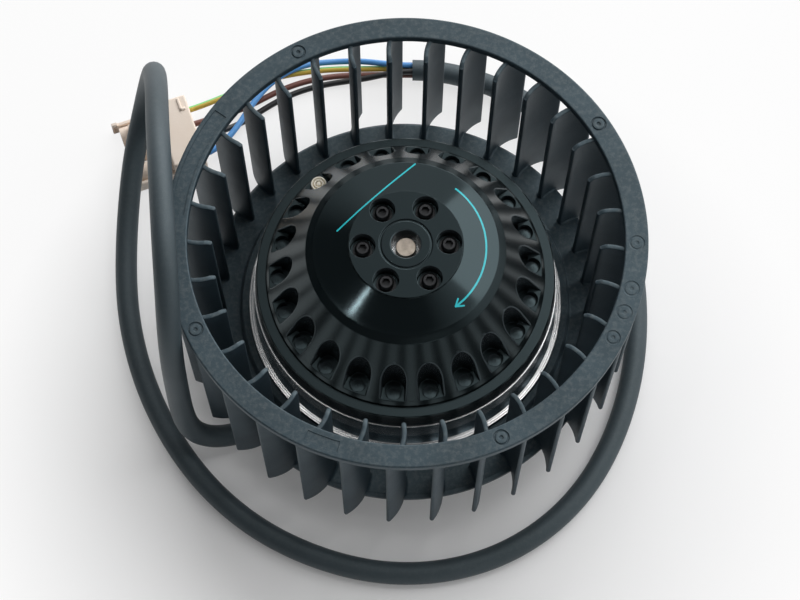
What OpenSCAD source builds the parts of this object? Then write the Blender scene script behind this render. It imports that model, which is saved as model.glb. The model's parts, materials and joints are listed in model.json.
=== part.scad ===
// Motorised blower wheel: a forward-curved impeller pressed on an external-rotor motor,
// standing on its mounting flange with the inlet side up, with its lead and plug.
// Millimetres, +Z up. The origin is the centre of the flange's mounting face.

/* [Impeller] */
// Outside diameter of the blade wheel
wheel_d = 140; // [134:1:150]
// Height of the wheel from the free blade ends to the top of the inlet ring
wheel_h = 62; // [56:0.5:70]
// Height of the free blade ends above the mounting face
wheel_lift = 14; // [13:0.5:15]
// Width of the inlet ring, from the wheel's outside inwards
ring_w = 6.8; // [5:0.1:9]
// Thickness of the inlet ring
ring_t = 2.7; // [2:0.1:4]
// Number of blades
blade_count = 33; // [24:1:40]
// Width of a blade, from the wheel's outside inwards
blade_w = 14; // [12:0.5:16]
// Distance inside the wheel's outside at which a blade starts to bend forward
blade_bend = 11; // [9:0.5:13]
// How far a blade's tip is bent forward
blade_sweep = 5.5; // [3:0.1:7]
// Thickness of a blade
blade_t = 1.4; // [1:0.1:2]
// Drop of the blades' top edge at their inner corner
blade_drop = 2.4; // [1:0.1:5]
// Distance of the dish's edge inside the wheel's outside
dish_in = 7; // [5:0.5:10]
// Thickness of the dish
dish_t = 3; // [2.4:0.1:4]
// Thickness of the dish's collar round the rotor band
collar_t = 2.2; // [1.6:0.1:3]
// Height of the collar above the dish
collar_h = 3; // [2:0.5:6]
// Diameter of the moulded marks on the inlet ring
ring_mark_d = 4.6; // [3:0.1:5.5]

/* [Rotor] */
// Outside diameter of the lamination band that carries the wheel
band_d = 97.6; // [96:0.2:99]
// Height of the band's full-width foot
band_foot_h = 6; // [5:0.5:7]
// Step in from the band's foot to the rotor's wall above it
band_step = 2.8; // [2.4:0.1:3.2]
// Thickness of the rotor's lamination ring, from the air gap to the band's outside
rotor_wall = 14.4; // [13.5:0.1:15.5]
// Height of the lamination stack
stack_h = 20; // [18:0.5:22]
// Distance of the cover's rim inside the band's outside
rim_in = 3.4; // [3:0.1:4]
// Width of the ledge on the cover's rim
rim_w = 3.2; // [2:0.1:4.5]
// Thickness of the cover's skirt
skirt_t = 1.8; // [1.4:0.1:2.4]
// Diameter of the flat round the hub
plateau_d = 58.6; // [54:0.2:61]
// Width of the bevel round the flat
bevel_w = 2.2; // [1.6:0.1:2.8]
// Height of the cover from the stack to the hub's top
cover_h = 32; // [31:0.5:35]
// Number of cups round the cover
cup_count = 22; // [12:1:24]
// Width of a cup
cup_w = 7.2; // [6.8:0.1:8]
// Depth of a cup from the foot of the sloping side inwards
cup_l = 8.5; // [7:0.1:9.5]
// Length of a cup's deep inner part
cup_deep = 3.5; // [3:0.1:4]
// Diameter of the round well in a cup's floor
well_d = 5.2; // [4.8:0.1:5.4]
// Diameter of the peg in a cup's well
peg_d = 4.1; // [3:0.1:4.4]
// Distance of a peg's middle from its cup's inner end
peg_in = 4.7; // [4.4:0.1:4.8]
// Diameter of the raised hub
hub_d = 33.6; // [33.4:0.2:36]
// Height of the hub above the flat round it
hub_step = 0.6; // [0.4:0.1:1.2]
// Number of hub screws
screw_count = 6; // [3:1:8]
// Diameter of the circle of hub screws
screw_pcd = 25.4; // [24:0.2:26]
// Thread diameter of a hub screw
screw_d = 3; // [2.5:0.5:3.5]
// Head diameter of a hub screw
screw_head_d = 4.6; // [4.2:0.1:5]
// Diameter of the pocket round a screw head
screw_pocket_d = 7.8; // [6.4:0.1:8]
// Diameter of the hole in the hub's middle
hub_bore_d = 8.7; // [7.5:0.1:9]
// Thickness of the hub flange's disc
disc_t = 4; // [3:0.5:5]
// Gap between a balance weight and the side of its well
weight_gap = 0.15; // [0.1:0.05:0.3]

/* [Shaft and bearings] */
// Shaft diameter
shaft_d = 6; // [5:0.5:6.5]
// Outside diameter of a ball bearing
bearing_od = 19; // [18:0.5:20]
// Width of a ball bearing
bearing_w = 6; // [5.5:0.5:7]
// Diameter of a bearing ball
ball_d = 3.5; // [3:0.1:3.6]
// Number of balls in a bearing
ball_count = 7; // [5:1:8]

/* [Stator] */
// Gap between the stator and the rotor laminations
air_gap = 0.4; // [0.3:0.05:0.8]
// Number of winding slots
slot_count = 24; // [12:1:24]
// Width of a winding slot
slot_w = 3.4; // [2.6:0.1:3.6]
// Number of cage bars in the rotor
bar_count = 30; // [18:1:34]
// Diameter of a cage bar
bar_d = 2.4; // [1.6:0.1:2.6]

/* [Flange] */
// Diameter of the mounting flange
flange_d = 82; // [78:1:84]
// Thickness of the flange's plate
flange_t = 3.2; // [2.5:0.1:4]
// Height of the flange's outer lip
lip_h = 8; // [6:0.5:10]
// Outside diameter of the bearing tube
tube_d = 25; // [24:0.5:27]
// Diameter of the circle of mounting holes
mount_pcd = 58; // [52:1:62]
// Number of mounting holes
mount_count = 4; // [3:1:6]
// Core diameter of a threaded mounting hole
mount_hole_d = 3.3; // [2.5:0.1:4.2]

/* [Lead] */
// Diameter of the lead
lead_d = 7; // [6:0.1:7.2]
// Diameter of a wire
wire_d = 2; // [1.6:0.1:2.1]
// Diameter of the strain relief's collar
gland_d = 9.8; // [9:0.1:10.2]
// Length of the strain relief inside the flange
gland_tail = 10.5; // [8:0.5:12]
// Depth of the plug's rear block
plug_block = 11; // [9:0.5:13]
// Height of the plug's rear block
plug_h = 11; // [10:0.5:12]
// Diameter of a plug sleeve
sleeve_d = 6.4; // [5.6:0.1:6.6]
// Length of a plug sleeve
sleeve_l = 13; // [9:0.5:15]
// Gap between neighbouring plug sleeves
sleeve_gap = 0.8; // [0.6:0.1:1.2]
// Thickness of a plug's prong
prong_t = 1.2; // [1:0.1:1.6]

/* [Hidden] */
$fn = 96;
// Running clearance in loose holes and between pieces that slide past each other
slack = 0.2;

wheel_r = wheel_d / 2;
wheel_top = wheel_lift + wheel_h;
ring_r = wheel_r - ring_w;
ring_z = wheel_top - ring_t;
blade_r = wheel_r - blade_w;
turn_r = wheel_r - blade_bend;
dish_r = wheel_r - dish_in;
// Radius of a blade's arc from its forward bend
arc_r = ((wheel_r - turn_r) ^ 2 + blade_sweep ^ 2) / (2 * blade_sweep);
arc_in = asin((blade_r - turn_r) / arc_r) - 4;
arc_out = asin((wheel_r - turn_r) / arc_r) + 6;
blade_step = 360 / blade_count;
blade_phase = 3.2;
// The ring's moulded marks stand at the 3rd blade and then every 8th
mark_first = 32;
mark_step = 8 * blade_step;

band_r = band_d / 2;
wall_r = band_r - band_step;
rim_r = band_r - rim_in;
slope_r = rim_r - rim_w;
skirt_r = slope_r - skirt_t;
plateau_r = plateau_d / 2;
hub_r = hub_d / 2;
cup_r = slope_r - cup_l;
peg_r = cup_r + peg_in;
// Wall of the cover's hollow round the windings
cavity_r = cup_r - 2.2;
weight_r = well_d / 2 - weight_gap;
stack_z = wheel_lift + 2;
stack_top = stack_z + stack_h;
foot_z = stack_z + band_foot_h;
rim_z = stack_top + 7;
ledge_z = stack_top + 9.6;
well_z = ledge_z - 2.6;
peg_z = well_z + 0.8;
ceiling_z = well_z - 1.4;
hub_top = stack_top + cover_h;
edge_z = hub_top - 3.8;
hub_seat = hub_top - 9;
screw_seat = hub_top - 4.2;
cup_step = 360 / cup_count;
cup_phase = 3.2;
screw_phase = 3.4;
weight_cup = 8;

shaft_r = shaft_d / 2;
bearing_r = bearing_od / 2;
race_r = (shaft_r + bearing_r) / 2;
ball_r = ball_d / 2;
race_gap = ball_d * 0.38;
tube_floor = 4;
lower_bearing = 6;
upper_bearing = stack_top - 1;
tube_top = upper_bearing + bearing_w + 2;
groove_z = upper_bearing + bearing_w + 0.2;
groove_h = 1;

stator_r = band_r - rotor_wall - air_gap;
tube_r = tube_d / 2;
core_seat_r = tube_r + 3.5;
slot_in = 22;
slot_out = stator_r - 2;
winding_low = wheel_lift - 6;
winding_high = stack_top + 10;
// The upper winding head keeps clear of the cover's hollow
head_r = cavity_r - 1.5;
insulator_t = 1;
cage_r = skirt_r - 2.6;

flange_r = flange_d / 2;
lip_r = flange_r - 3;
mount_r = mount_pcd / 2;
mount_boss_r = mount_hole_d / 2 + 2.4;

lead_r = lead_d / 2;
wire_r = wire_d / 2;
gland_r = gland_d / 2;
gland_core_r = gland_r - 1;
outlet_r = gland_r + 0.3;

// Route of the lead: out under the wheel, up its side, over the ring, down in a bend across
// the plug, then on the floor round the wheel to its back
lead_route = [
    [-42, -36, 5.2], [-47.6, -38, 5.2], [-53.5, -40.2, 5.9], [-59.2, -41.8, 8.8],
    [-63.8, -42.4, 14.2], [-66.4, -41.8, 21.8], [-67.2, -40.4, 31.5], [-67.2, -39, 43],
    [-67, -37.8, 55], [-66.8, -36.2, 67], [-66.7, -31.6, 78.6], [-66.8, -22.2, 87.8],
    [-67.8, -9.4, 92.2], [-69.2, 4.6, 91.6], [-70.8, 18.4, 87.8], [-72.6, 31.4, 82],
    [-74.2, 43.4, 74.2], [-76, 54.2, 64.4], [-78.2, 63, 52.8], [-80.6, 68.2, 40],
    [-83.4, 67.8, 27.6], [-86.2, 62, 18.4], [-88.6, 52.5, 13], [-89.8, 41.5, 9.6],
    [-90.5, 29.5, 6.4], [-90.5, 17, 4.2], [-89.5, 4, 3.6], [-86.8, -9.5, 3.6],
    [-82.2, -23.5, 3.6], [-75.6, -37, 3.6], [-67, -50, 3.6], [-55.8, -62, 3.6],
    [-42, -72, 3.6], [-26, -79.2, 3.6], [-8.5, -83.6, 3.6], [10, -83.6, 3.6],
    [28, -79, 3.6], [44.5, -69.4, 3.6], [57.8, -55.6, 3.6], [67.2, -38, 3.6],
    [72.9, -19, 3.6], [75, 1, 3.6], [73.9, 21.5, 3.6], [68.3, 41.5, 3.6],
    [58.2, 60, 3.6], [44.2, 74.8, 3.6], [28, 84, 3.6], [12, 88.5, 3.6],
    [2, 88.5, 3.6]
];
lead_exit = lead_route[0];
lead_yaw = atan2(lead_route[1][1] - lead_exit[1], lead_route[1][0] - lead_exit[0]);
// The strain relief's collar seats on a boss that stands out from the flange's edge, at this
// distance back from the lead's exit along the outlet's line
exit_run = lead_exit[0] * cos(lead_yaw) + lead_exit[1] * sin(lead_yaw);
gland_seat = exit_run - 3.75
    - sqrt(exit_run ^ 2 - lead_exit[0] ^ 2 - lead_exit[1] ^ 2 + flange_r ^ 2);

// The plug lies on the floor beside the wheel
plug_at = [-73.5, 75.5, 0];
plug_yaw = 200;
plug_mid = 5.5;
sleeve_pitch = sleeve_d + sleeve_gap;
plug_w = 3 * sleeve_d + 3 * sleeve_gap + 2 * prong_t;
sleeve_at = [plug_w / 2 - sleeve_pitch, plug_w / 2, plug_w / 2 + sleeve_pitch];
sleeve_z = sleeve_d / 2 + 0.3;
nose_l = 3.5;

// A point on the plug, from its depth, width and height
function on_plug(d, w, z) = [
    plug_at[0] + d * cos(plug_yaw) - w * sin(plug_yaw),
    plug_at[1] + d * sin(plug_yaw) + w * cos(plug_yaw),
    z
];
// A wire's route ends square on the plug's rear face
function to_plug(route, w) = concat(route, [on_plug(-7, w, plug_mid), on_plug(0, w, plug_mid)]);

blue_route = to_plug([
    [2, 89.7, 4.8], [-4, 89.7, 4.8], [-14, 92.4, 2.8], [-24, 92.6, 1.3],
    [-35, 90.8, 3.2], [-45, 84.5, 3.7], [-52, 75, 4.2]
], 20.5);
earth_route = to_plug([
    [2, 89.7, 2.4], [-4, 89.7, 2.4], [-14, 90, 1.1], [-25, 90, 1.1],
    [-38, 88.3, 1.1], [-50, 84.3, 2.4]
], 3.5);
brown_route = to_plug([
    [2, 87.3, 2.4], [-4, 87.3, 2.4], [-14, 87.8, 1.1], [-25, 87.4, 1.1],
    [-37, 84.6, 1.1], [-47, 79.4, 1.1], [-55, 74, 1.6]
], 9);
black_route = to_plug([
    [2, 87.3, 4.8], [-4, 87.3, 4.8], [-13, 85.4, 2.8], [-25, 84.8, 1.1],
    [-37, 81.5, 1.1], [-47, 75.5, 1.1], [-55, 69, 1.3]
], 14.5);

black_grey = [0.13, 0.15, 0.17];
gloss_black = [0.05, 0.05, 0.06];
steel = [0.72, 0.73, 0.74];
cast_alloy = [0.62, 0.63, 0.65];
copper = [0.72, 0.42, 0.22];
cream = [0.93, 0.84, 0.76];

// A solid of revolution from points of radius and height
module turned(points) {
    rotate_extrude()
        polygon(points);
}

// A ring between two radii
module tube(r_out, r_in, z, h) {
    translate([0, 0, z])
        linear_extrude(height = h)
            difference() {
                circle(r_out);
                circle(r_in);
            }
}

// Copies round the axis, the first one at a given angle
module around(count, first = 0) {
    for (k = [0 : count - 1])
        rotate([0, 0, first + k * 360 / count])
            children();
}

// Sweep of a round section along a route, with a frame carried from ring to ring
function unit(v) = v / norm(v);
function heading(p, i) =
    i == 0 ? unit(p[1] - p[0])
    : i == len(p) - 1 ? unit(p[i] - p[i - 1])
    : unit(unit(p[i + 1] - p[i]) + unit(p[i] - p[i - 1]));
function square_to(v, t) = unit(v - (v * t) * t);
function sides(p) = [
    for (i = 0, v = square_to([0.1, 0.2, 1], heading(p, 0));
         i < len(p);
         i = i + 1, v = i < len(p) ? square_to(v, heading(p, i)) : v) v
];
function rings(p, r, n) =
    let (s = sides(p))
    [
        for (i = [0 : len(p) - 1], k = [0 : n - 1])
            let (w = cross(heading(p, i), s[i]), a = k * 360 / n)
            p[i] + r * (cos(a) * s[i] + sin(a) * w)
    ];
function skin(m, n) = concat(
    [[for (k = [0 : n - 1]) k]],
    [
        for (i = [0 : m - 2], k = [0 : n - 1], h = [0, 1])
            let (a = i * n + k, b = i * n + (k + 1) % n)
            h == 0 ? [b + n, b, a] : [a + n, b + n, a]
    ],
    [[for (k = [n - 1 : -1 : 0]) (m - 1) * n + k]]
);
module swept(route, r, n) {
    polyhedron(points = rings(route, r, n), faces = skin(len(route), n));
}

// Plan of one forward-curved blade, its tip on the X axis side
module blade_plan() {
    reach = 3 * arc_r;
    rotate([0, 0, atan(blade_sweep / wheel_r)])
        translate([turn_r, -arc_r])
            intersection() {
                difference() {
                    circle(arc_r + blade_t / 2);
                    circle(arc_r - blade_t / 2);
                }
                polygon([
                    [0, 0],
                    [reach * sin(arc_in), reach * cos(arc_in)],
                    [reach * sin((arc_in + arc_out) / 2), reach * cos((arc_in + arc_out) / 2)],
                    [reach * sin(arc_out), reach * cos(arc_out)]
                ]);
            }
}

// The space the blades fill: their inner edge, their sloping top edge and their tips
module blade_space() {
    tip = wheel_r - 0.1;
    turned([
        [blade_r, wheel_lift],
        [tip, wheel_lift],
        [tip, ring_z],
        [ring_r, ring_z],
        [blade_r + 1.2, ring_z - blade_drop],
        [blade_r, ring_z - blade_drop - 1.2]
    ]);
}

// The dish's own form, also what the blades' feet are cut to
module dish_form() {
    turned([
        [band_r, wheel_lift],
        [dish_r, wheel_lift],
        [dish_r, wheel_lift + dish_t - 1.2],
        [dish_r - 1, wheel_lift + dish_t],
        [band_r + collar_t + 0.8, wheel_lift + dish_t + 0.6],
        [band_r + collar_t, wheel_lift + dish_t + collar_h],
        [band_r, wheel_lift + dish_t + collar_h]
    ]);
}

module impeller_ring() {
    color(black_grey)
        difference() {
            turned([
                [ring_r, ring_z],
                [wheel_r, ring_z],
                [wheel_r, wheel_top - 0.4],
                [wheel_r - 0.4, wheel_top],
                [ring_r + 0.3, wheel_top],
                [ring_r, wheel_top - 0.3]
            ]);
            for (k = [0 : 3])
                rotate([0, 0, mark_first + k * mark_step])
                    translate([(ring_r + wheel_r) / 2, 0, 0]) {
                        tube(ring_mark_d / 2, ring_mark_d / 2 - 0.7, wheel_top - 0.4, 1);
                        translate([0, 0, wheel_top - 0.4])
                            cylinder(h = 1, d = 0.9);
                    }
        }
}

module impeller_blades() {
    color(black_grey)
        around(blade_count, blade_phase)
            difference() {
                intersection() {
                    translate([0, 0, wheel_lift - 1])
                        linear_extrude(height = wheel_h + 2)
                            blade_plan();
                    blade_space();
                }
                dish_form();
            }
}

module impeller_dish() {
    color(black_grey)
        dish_form();
}

// Plan of one cup: rounded towards the axis, open outwards
module cup_plan() {
    translate([cup_r + cup_w / 2, 0]) {
        circle(d = cup_w);
        translate([0, 0.15 - cup_w / 2])
            square([20, cup_w - 0.3]);
    }
}

// Plan of a cup's deep inner part, which runs into its well
module deep_plan() {
    intersection() {
        cup_plan();
        translate([cup_r - 1, -cup_w])
            square([cup_deep + 1, 2 * cup_w]);
    }
}

module rotor_bell() {
    color(gloss_black)
        union() {
            difference() {
                turned([
                    [hub_bore_d / 2, hub_seat],
                    [hub_bore_d / 2, hub_top],
                    [hub_r - 0.15, hub_top],
                    [hub_r, hub_top - 0.15],
                    [hub_r + 0.1, hub_top - hub_step],
                    [plateau_r + 0.3 - bevel_w, edge_z + 0.7],
                    [plateau_r + 0.3, edge_z - 0.7],
                    [slope_r - 0.5, rim_z + 2],
                    [slope_r, rim_z + 1.4],
                    [slope_r, rim_z],
                    [rim_r - 0.4, rim_z],
                    [rim_r, rim_z - 0.4],
                    [wall_r + 0.1, stack_top],
                    [skirt_r, stack_top],
                    [skirt_r, ceiling_z],
                    [cavity_r, ceiling_z],
                    [cavity_r, hub_top - 12.5],
                    [plateau_r - 3.3, hub_seat + 1.5],
                    [hub_r + 0.5, hub_seat]
                ]);
                around(cup_count, cup_phase) {
                    translate([0, 0, ledge_z])
                        linear_extrude(height = 20)
                            cup_plan();
                    translate([0, 0, well_z])
                        linear_extrude(height = 5)
                            deep_plan();
                    translate([peg_r, 0, well_z])
                        cylinder(h = 5, d = well_d);
                }
                around(screw_count, screw_phase)
                    translate([screw_pcd / 2, 0, 0]) {
                        translate([0, 0, screw_seat])
                            cylinder(h = 10, d = screw_pocket_d);
                        translate([0, 0, hub_seat - 1])
                            cylinder(h = 10, d = screw_d + 2 * slack);
                    }
                tube(7.9, 7.2, hub_top - 0.6, 2);
            }
            around(cup_count, cup_phase)
                translate([peg_r, 0, well_z - 0.5])
                    cylinder(h = peg_z - well_z + 0.5, d = peg_d);
        }
}

module rotor_core() {
    color(steel)
        difference() {
            turned([
                [stator_r + air_gap, stack_z],
                [band_r - 0.2, stack_z],
                [band_r, stack_z + 0.2],
                [band_r, foot_z - 0.2],
                [band_r - 0.2, foot_z],
                [wall_r + 1.2, foot_z],
                [wall_r, foot_z + 4],
                [wall_r, stack_top],
                [stator_r + air_gap, stack_top]
            ]);
            around(bar_count)
                translate([cage_r, 0, stack_z - 1])
                    cylinder(h = stack_h + 2, d = bar_d);
        }
}

module rotor_cage() {
    color(cast_alloy)
        union() {
            tube(cage_r + 5, cage_r - 1.6, stack_z - 3.4, 3.4);
            tube(cage_r + 2, cage_r - 1.6, stack_top, 2.8);
            around(bar_count)
                translate([cage_r, 0, stack_z - 1])
                    cylinder(h = stack_h + 2, d = bar_d);
        }
}

module hub_flange() {
    color(steel)
        difference() {
            turned([
                [shaft_r, upper_bearing + bearing_w],
                [shaft_r + 1.8, upper_bearing + bearing_w],
                [shaft_r + 3, upper_bearing + bearing_w + 3],
                [shaft_r + 3, hub_seat - disc_t],
                [hub_r - 0.7, hub_seat - disc_t],
                [hub_r - 0.7, hub_seat],
                [shaft_r, hub_seat]
            ]);
            around(screw_count, screw_phase)
                translate([screw_pcd / 2, 0, hub_seat - disc_t - 1])
                    cylinder(h = disc_t + 2, d = screw_d);
        }
}

module hub_screws() {
    color([0.10, 0.10, 0.11])
        around(screw_count, screw_phase)
            translate([screw_pcd / 2, 0, 0])
                difference() {
                    turned([
                        [0, hub_seat - disc_t - 0.4],
                        [screw_d / 2, hub_seat - disc_t - 0.4],
                        [screw_d / 2, screw_seat],
                        [screw_pocket_d / 2 - 1, screw_seat],
                        [screw_pocket_d / 2 - 1, screw_seat + 0.7],
                        [screw_head_d / 2, screw_seat + 0.7],
                        [screw_head_d / 2, screw_seat + 2],
                        [screw_head_d / 2 - 0.5, screw_seat + 2.6],
                        [0, screw_seat + 2.6]
                    ]);
                    translate([0, 0, screw_seat + 1.2])
                        cylinder(h = 3, d = screw_head_d * 0.55, $fn = 6);
                }
}

module rotor_shaft() {
    color(steel)
        turned([
            [0, 3],
            [shaft_r - 0.4, 3],
            [shaft_r, 3.4],
            [shaft_r, lower_bearing - 0.8],
            [shaft_r - 0.3, lower_bearing - 0.8],
            [shaft_r - 0.3, lower_bearing],
            [shaft_r, lower_bearing],
            [shaft_r, hub_top - 2.8],
            [shaft_r - 0.2, hub_top - 2.6],
            [0, hub_top - 2.6]
        ]);
}

module shaft_circlip() {
    color([0.30, 0.31, 0.32])
        tube(shaft_r + 1.7, shaft_r - 0.3, lower_bearing - 0.8, 0.8);
}

module balance_weight() {
    color([0.90, 0.87, 0.78])
        rotate([0, 0, cup_phase + weight_cup * cup_step])
            translate([peg_r, 0, 0])
                difference() {
                    translate([0, 0, peg_z])
                        cylinder(h = 4.2, r = weight_r);
                    tube(weight_r - 0.5, weight_r - 0.9, peg_z + 3.7, 1);
                    tube(weight_r - 1.3, weight_r - 1.7, peg_z + 3.7, 1);
                }
}

// Ball track of a bearing, cut from both races
module track() {
    rotate_extrude()
        translate([race_r, bearing_w / 2])
            circle(r = ball_r + 0.1, $fn = 48);
}

module inner_race() {
    difference() {
        tube(race_r - race_gap, shaft_r, 0, bearing_w);
        track();
    }
}

module outer_race() {
    difference() {
        union() {
            tube(bearing_r, race_r + race_gap, 0, bearing_w);
            tube(bearing_r - 0.5, race_r - race_gap + 0.4, 0.3, 0.35);
            tube(bearing_r - 0.5, race_r - race_gap + 0.4, bearing_w - 0.65, 0.35);
        }
        track();
    }
}

// Both bearings sit at the same heights for every bearing piece
module at_bearings() {
    for (z = [lower_bearing, upper_bearing])
        translate([0, 0, z])
            children();
}

module bearing_inner_races() {
    color(steel)
        at_bearings()
            inner_race();
}

module bearing_outer_races() {
    color(steel)
        at_bearings()
            outer_race();
}

module bearing_balls() {
    color([0.80, 0.81, 0.82])
        at_bearings()
            around(ball_count)
                translate([race_r, 0, bearing_w / 2])
                    sphere(r = ball_r);
}

module preload_washer() {
    color([0.45, 0.46, 0.48])
        turned([
            [bearing_r - 2.4, tube_floor + 0.5],
            [bearing_r - 1.6, tube_floor],
            [bearing_r - slack, tube_floor + 1.4],
            [bearing_r - slack, lower_bearing],
            [bearing_r - 1, lower_bearing]
        ]);
}

module bore_circlip() {
    color([0.30, 0.31, 0.32])
        translate([0, 0, groove_z])
            linear_extrude(height = groove_h)
                difference() {
                    circle(bearing_r + 0.5);
                    circle(bearing_r - 1.4);
                    translate([0, -1.2])
                        square([20, 2.4]);
                }
}

// Line of the lead's outlet, with X along it and its outer end at X = 0
module at_outlet() {
    translate(lead_exit)
        rotate([0, 0, lead_yaw])
            rotate([0, 90, 0])
                children();
}

module stator_flange() {
    color(cast_alloy)
        difference() {
            union() {
                turned([
                    [shaft_r + 1.2, 0],
                    [flange_r - 0.5, 0],
                    [flange_r, 0.5],
                    [flange_r, lip_h - 0.5],
                    [flange_r - 0.5, lip_h],
                    [lip_r, lip_h],
                    [lip_r, flange_t],
                    [core_seat_r + 1, flange_t],
                    [core_seat_r, flange_t + 2],
                    [core_seat_r, stack_z],
                    [tube_r, stack_z],
                    [tube_r, tube_top],
                    [bearing_r, tube_top],
                    [bearing_r, tube_floor],
                    [shaft_r + 1.2, tube_floor]
                ]);
                around(mount_count, 45)
                    translate([mount_r, 0, 0.5])
                        cylinder(h = winding_low - 1.5, r = mount_boss_r);
                at_outlet()
                    translate([0, 0, -gland_seat - 9])
                        cylinder(h = 9, r = outlet_r);
            }
            around(mount_count, 45)
                translate([mount_r, 0, -1])
                    cylinder(h = winding_low - 1, d = mount_hole_d);
            at_outlet()
                translate([0, 0, -gland_seat - 18])
                    cylinder(h = 20, r = gland_core_r);
            tube(bearing_r + 0.5, bearing_r - 2, groove_z, groove_h);
        }
}

module cable_gland() {
    color([0.08, 0.08, 0.09])
        at_outlet()
            turned([
                [0, -gland_seat - gland_tail],
                [gland_core_r - 0.5, -gland_seat - gland_tail],
                [gland_core_r, 0.5 - gland_seat - gland_tail],
                [gland_core_r, -gland_seat],
                [gland_r, -gland_seat],
                [gland_r, 1.6 - gland_seat],
                [gland_r - 0.5, 2.2 - gland_seat],
                [lead_r + 0.5, 0],
                [0, 0]
            ]);
}

// Plan of the stator's teeth with their winding slots
module slotted_plan(r_in) {
    difference() {
        circle(stator_r);
        circle(r_in);
        around(slot_count) {
            translate([slot_in, -slot_w / 2])
                square([slot_out - slot_in, slot_w]);
            translate([slot_out - 1, -0.8])
                square([4, 1.6]);
        }
    }
}

module stator_core() {
    color(steel)
        translate([0, 0, stack_z])
            linear_extrude(height = stack_h)
                slotted_plan(tube_r);
}

module end_insulators() {
    color([0.85, 0.83, 0.76])
        for (z = [stack_z - insulator_t, stack_top])
            translate([0, 0, z])
                linear_extrude(height = insulator_t)
                    slotted_plan(core_seat_r);
}

module stator_windings() {
    low = stack_z - insulator_t;
    high = stack_top + insulator_t;
    color(copper)
        union() {
            turned([
                [core_seat_r + 4, winding_low],
                [slot_out - 3, winding_low],
                [slot_out - 1, winding_low + 2],
                [slot_out - 1, low],
                [core_seat_r + 2.5, low],
                [core_seat_r + 2.5, winding_low + 1.5]
            ]);
            turned([
                [core_seat_r + 2.5, high],
                [head_r, high],
                [head_r, winding_high - 3],
                [head_r - 2.8, winding_high],
                [core_seat_r + 5, winding_high],
                [core_seat_r + 2.5, winding_high - 2.5]
            ]);
            around(slot_count)
                translate([slot_in + slack, slack - slot_w / 2, low - 1])
                    cube([slot_out - slot_in - 1.5, slot_w - 2 * slack, high - low + 2]);
        }
}

module thermal_protector() {
    color([0.88, 0.88, 0.84])
        rotate([0, 0, 75])
            translate([head_r - 9, -6.5, winding_high])
                cube([5.4, 13, 2.8]);
}

module lead_sheath() {
    color([0.14, 0.15, 0.18])
        swept(lead_route, lead_r, 12);
}

module wire_blue() {
    color([0.36, 0.60, 0.85])
        swept(blue_route, wire_r, 8);
}

module wire_brown() {
    color([0.45, 0.30, 0.25])
        swept(brown_route, wire_r, 8);
}

module wire_earth() {
    color([0.70, 0.75, 0.35])
        swept(earth_route, wire_r, 8);
}

module wire_black() {
    color([0.10, 0.10, 0.11])
        swept(black_route, wire_r, 8);
}

// The plug's own directions: X is its depth, Y its width
module at_plug() {
    translate(plug_at)
        rotate([0, 0, plug_yaw])
            children();
}

module plug_housing() {
    color(cream)
        at_plug()
            difference() {
                union() {
                    cube([plug_block, plug_w, plug_h]);
                    translate([plug_block - 1, prong_t, 0.3])
                        cube([nose_l + 1, plug_w - 2 * prong_t, sleeve_d]);
                    translate([plug_block - 1, sleeve_at[0] - 1.6, sleeve_d + 0.7])
                        cube([10, 3.2, prong_t]);
                    for (w = [0, plug_w - prong_t]) {
                        translate([plug_block - 1, w, 0.3])
                            cube([sleeve_l + 3, prong_t, 5]);
                        translate([plug_block + sleeve_l, w, 0.3])
                            cube([2, prong_t, 6]);
                    }
                }
                translate([2.2, 5.5, plug_h - 1])
                    cube([1.6, plug_w - 8, 2]);
                translate([2.2, 5.5, plug_h - 1])
                    cube([plug_block - 4, 1.6, 2]);
                for (w = sleeve_at)
                    translate([plug_block - 4, w, sleeve_z])
                        rotate([0, 90, 0])
                            cylinder(h = 20, d = sleeve_d - 2.2);
            }
}

module plug_sleeves() {
    color([0.88, 0.78, 0.70])
        at_plug()
            for (w = sleeve_at)
                translate([plug_block + nose_l, w, sleeve_z])
                    rotate([0, 90, 0])
                        tube(sleeve_d / 2, sleeve_d / 2 - 1.1, 0, sleeve_l - nose_l);
}

module plug_pins() {
    color([0.80, 0.66, 0.36])
        at_plug()
            for (w = sleeve_at)
                translate([plug_block - 4, w, sleeve_z])
                    rotate([0, 90, 0])
                        cylinder(h = sleeve_l + 1, d = 1.6);
}

stator_flange();
stator_core();
end_insulators();
stator_windings();
thermal_protector();
bearing_outer_races();
preload_washer();
bore_circlip();
cable_gland();
lead_sheath();
wire_blue();
wire_brown();
wire_earth();
wire_black();
plug_housing();
plug_sleeves();
plug_pins();
impeller_ring();
impeller_blades();
impeller_dish();
rotor_bell();
rotor_core();
rotor_cage();
hub_flange();
hub_screws();
rotor_shaft();
balance_weight();
bearing_inner_races();
bearing_balls();
shaft_circlip();
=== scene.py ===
# Motorised blower wheel, standing on its flange with its lead laid round it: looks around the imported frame
import bmesh
import bpy
import json
import math
from mathutils import Matrix, Vector
from mathutils.geometry import delaunay_2d_cdt


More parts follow.
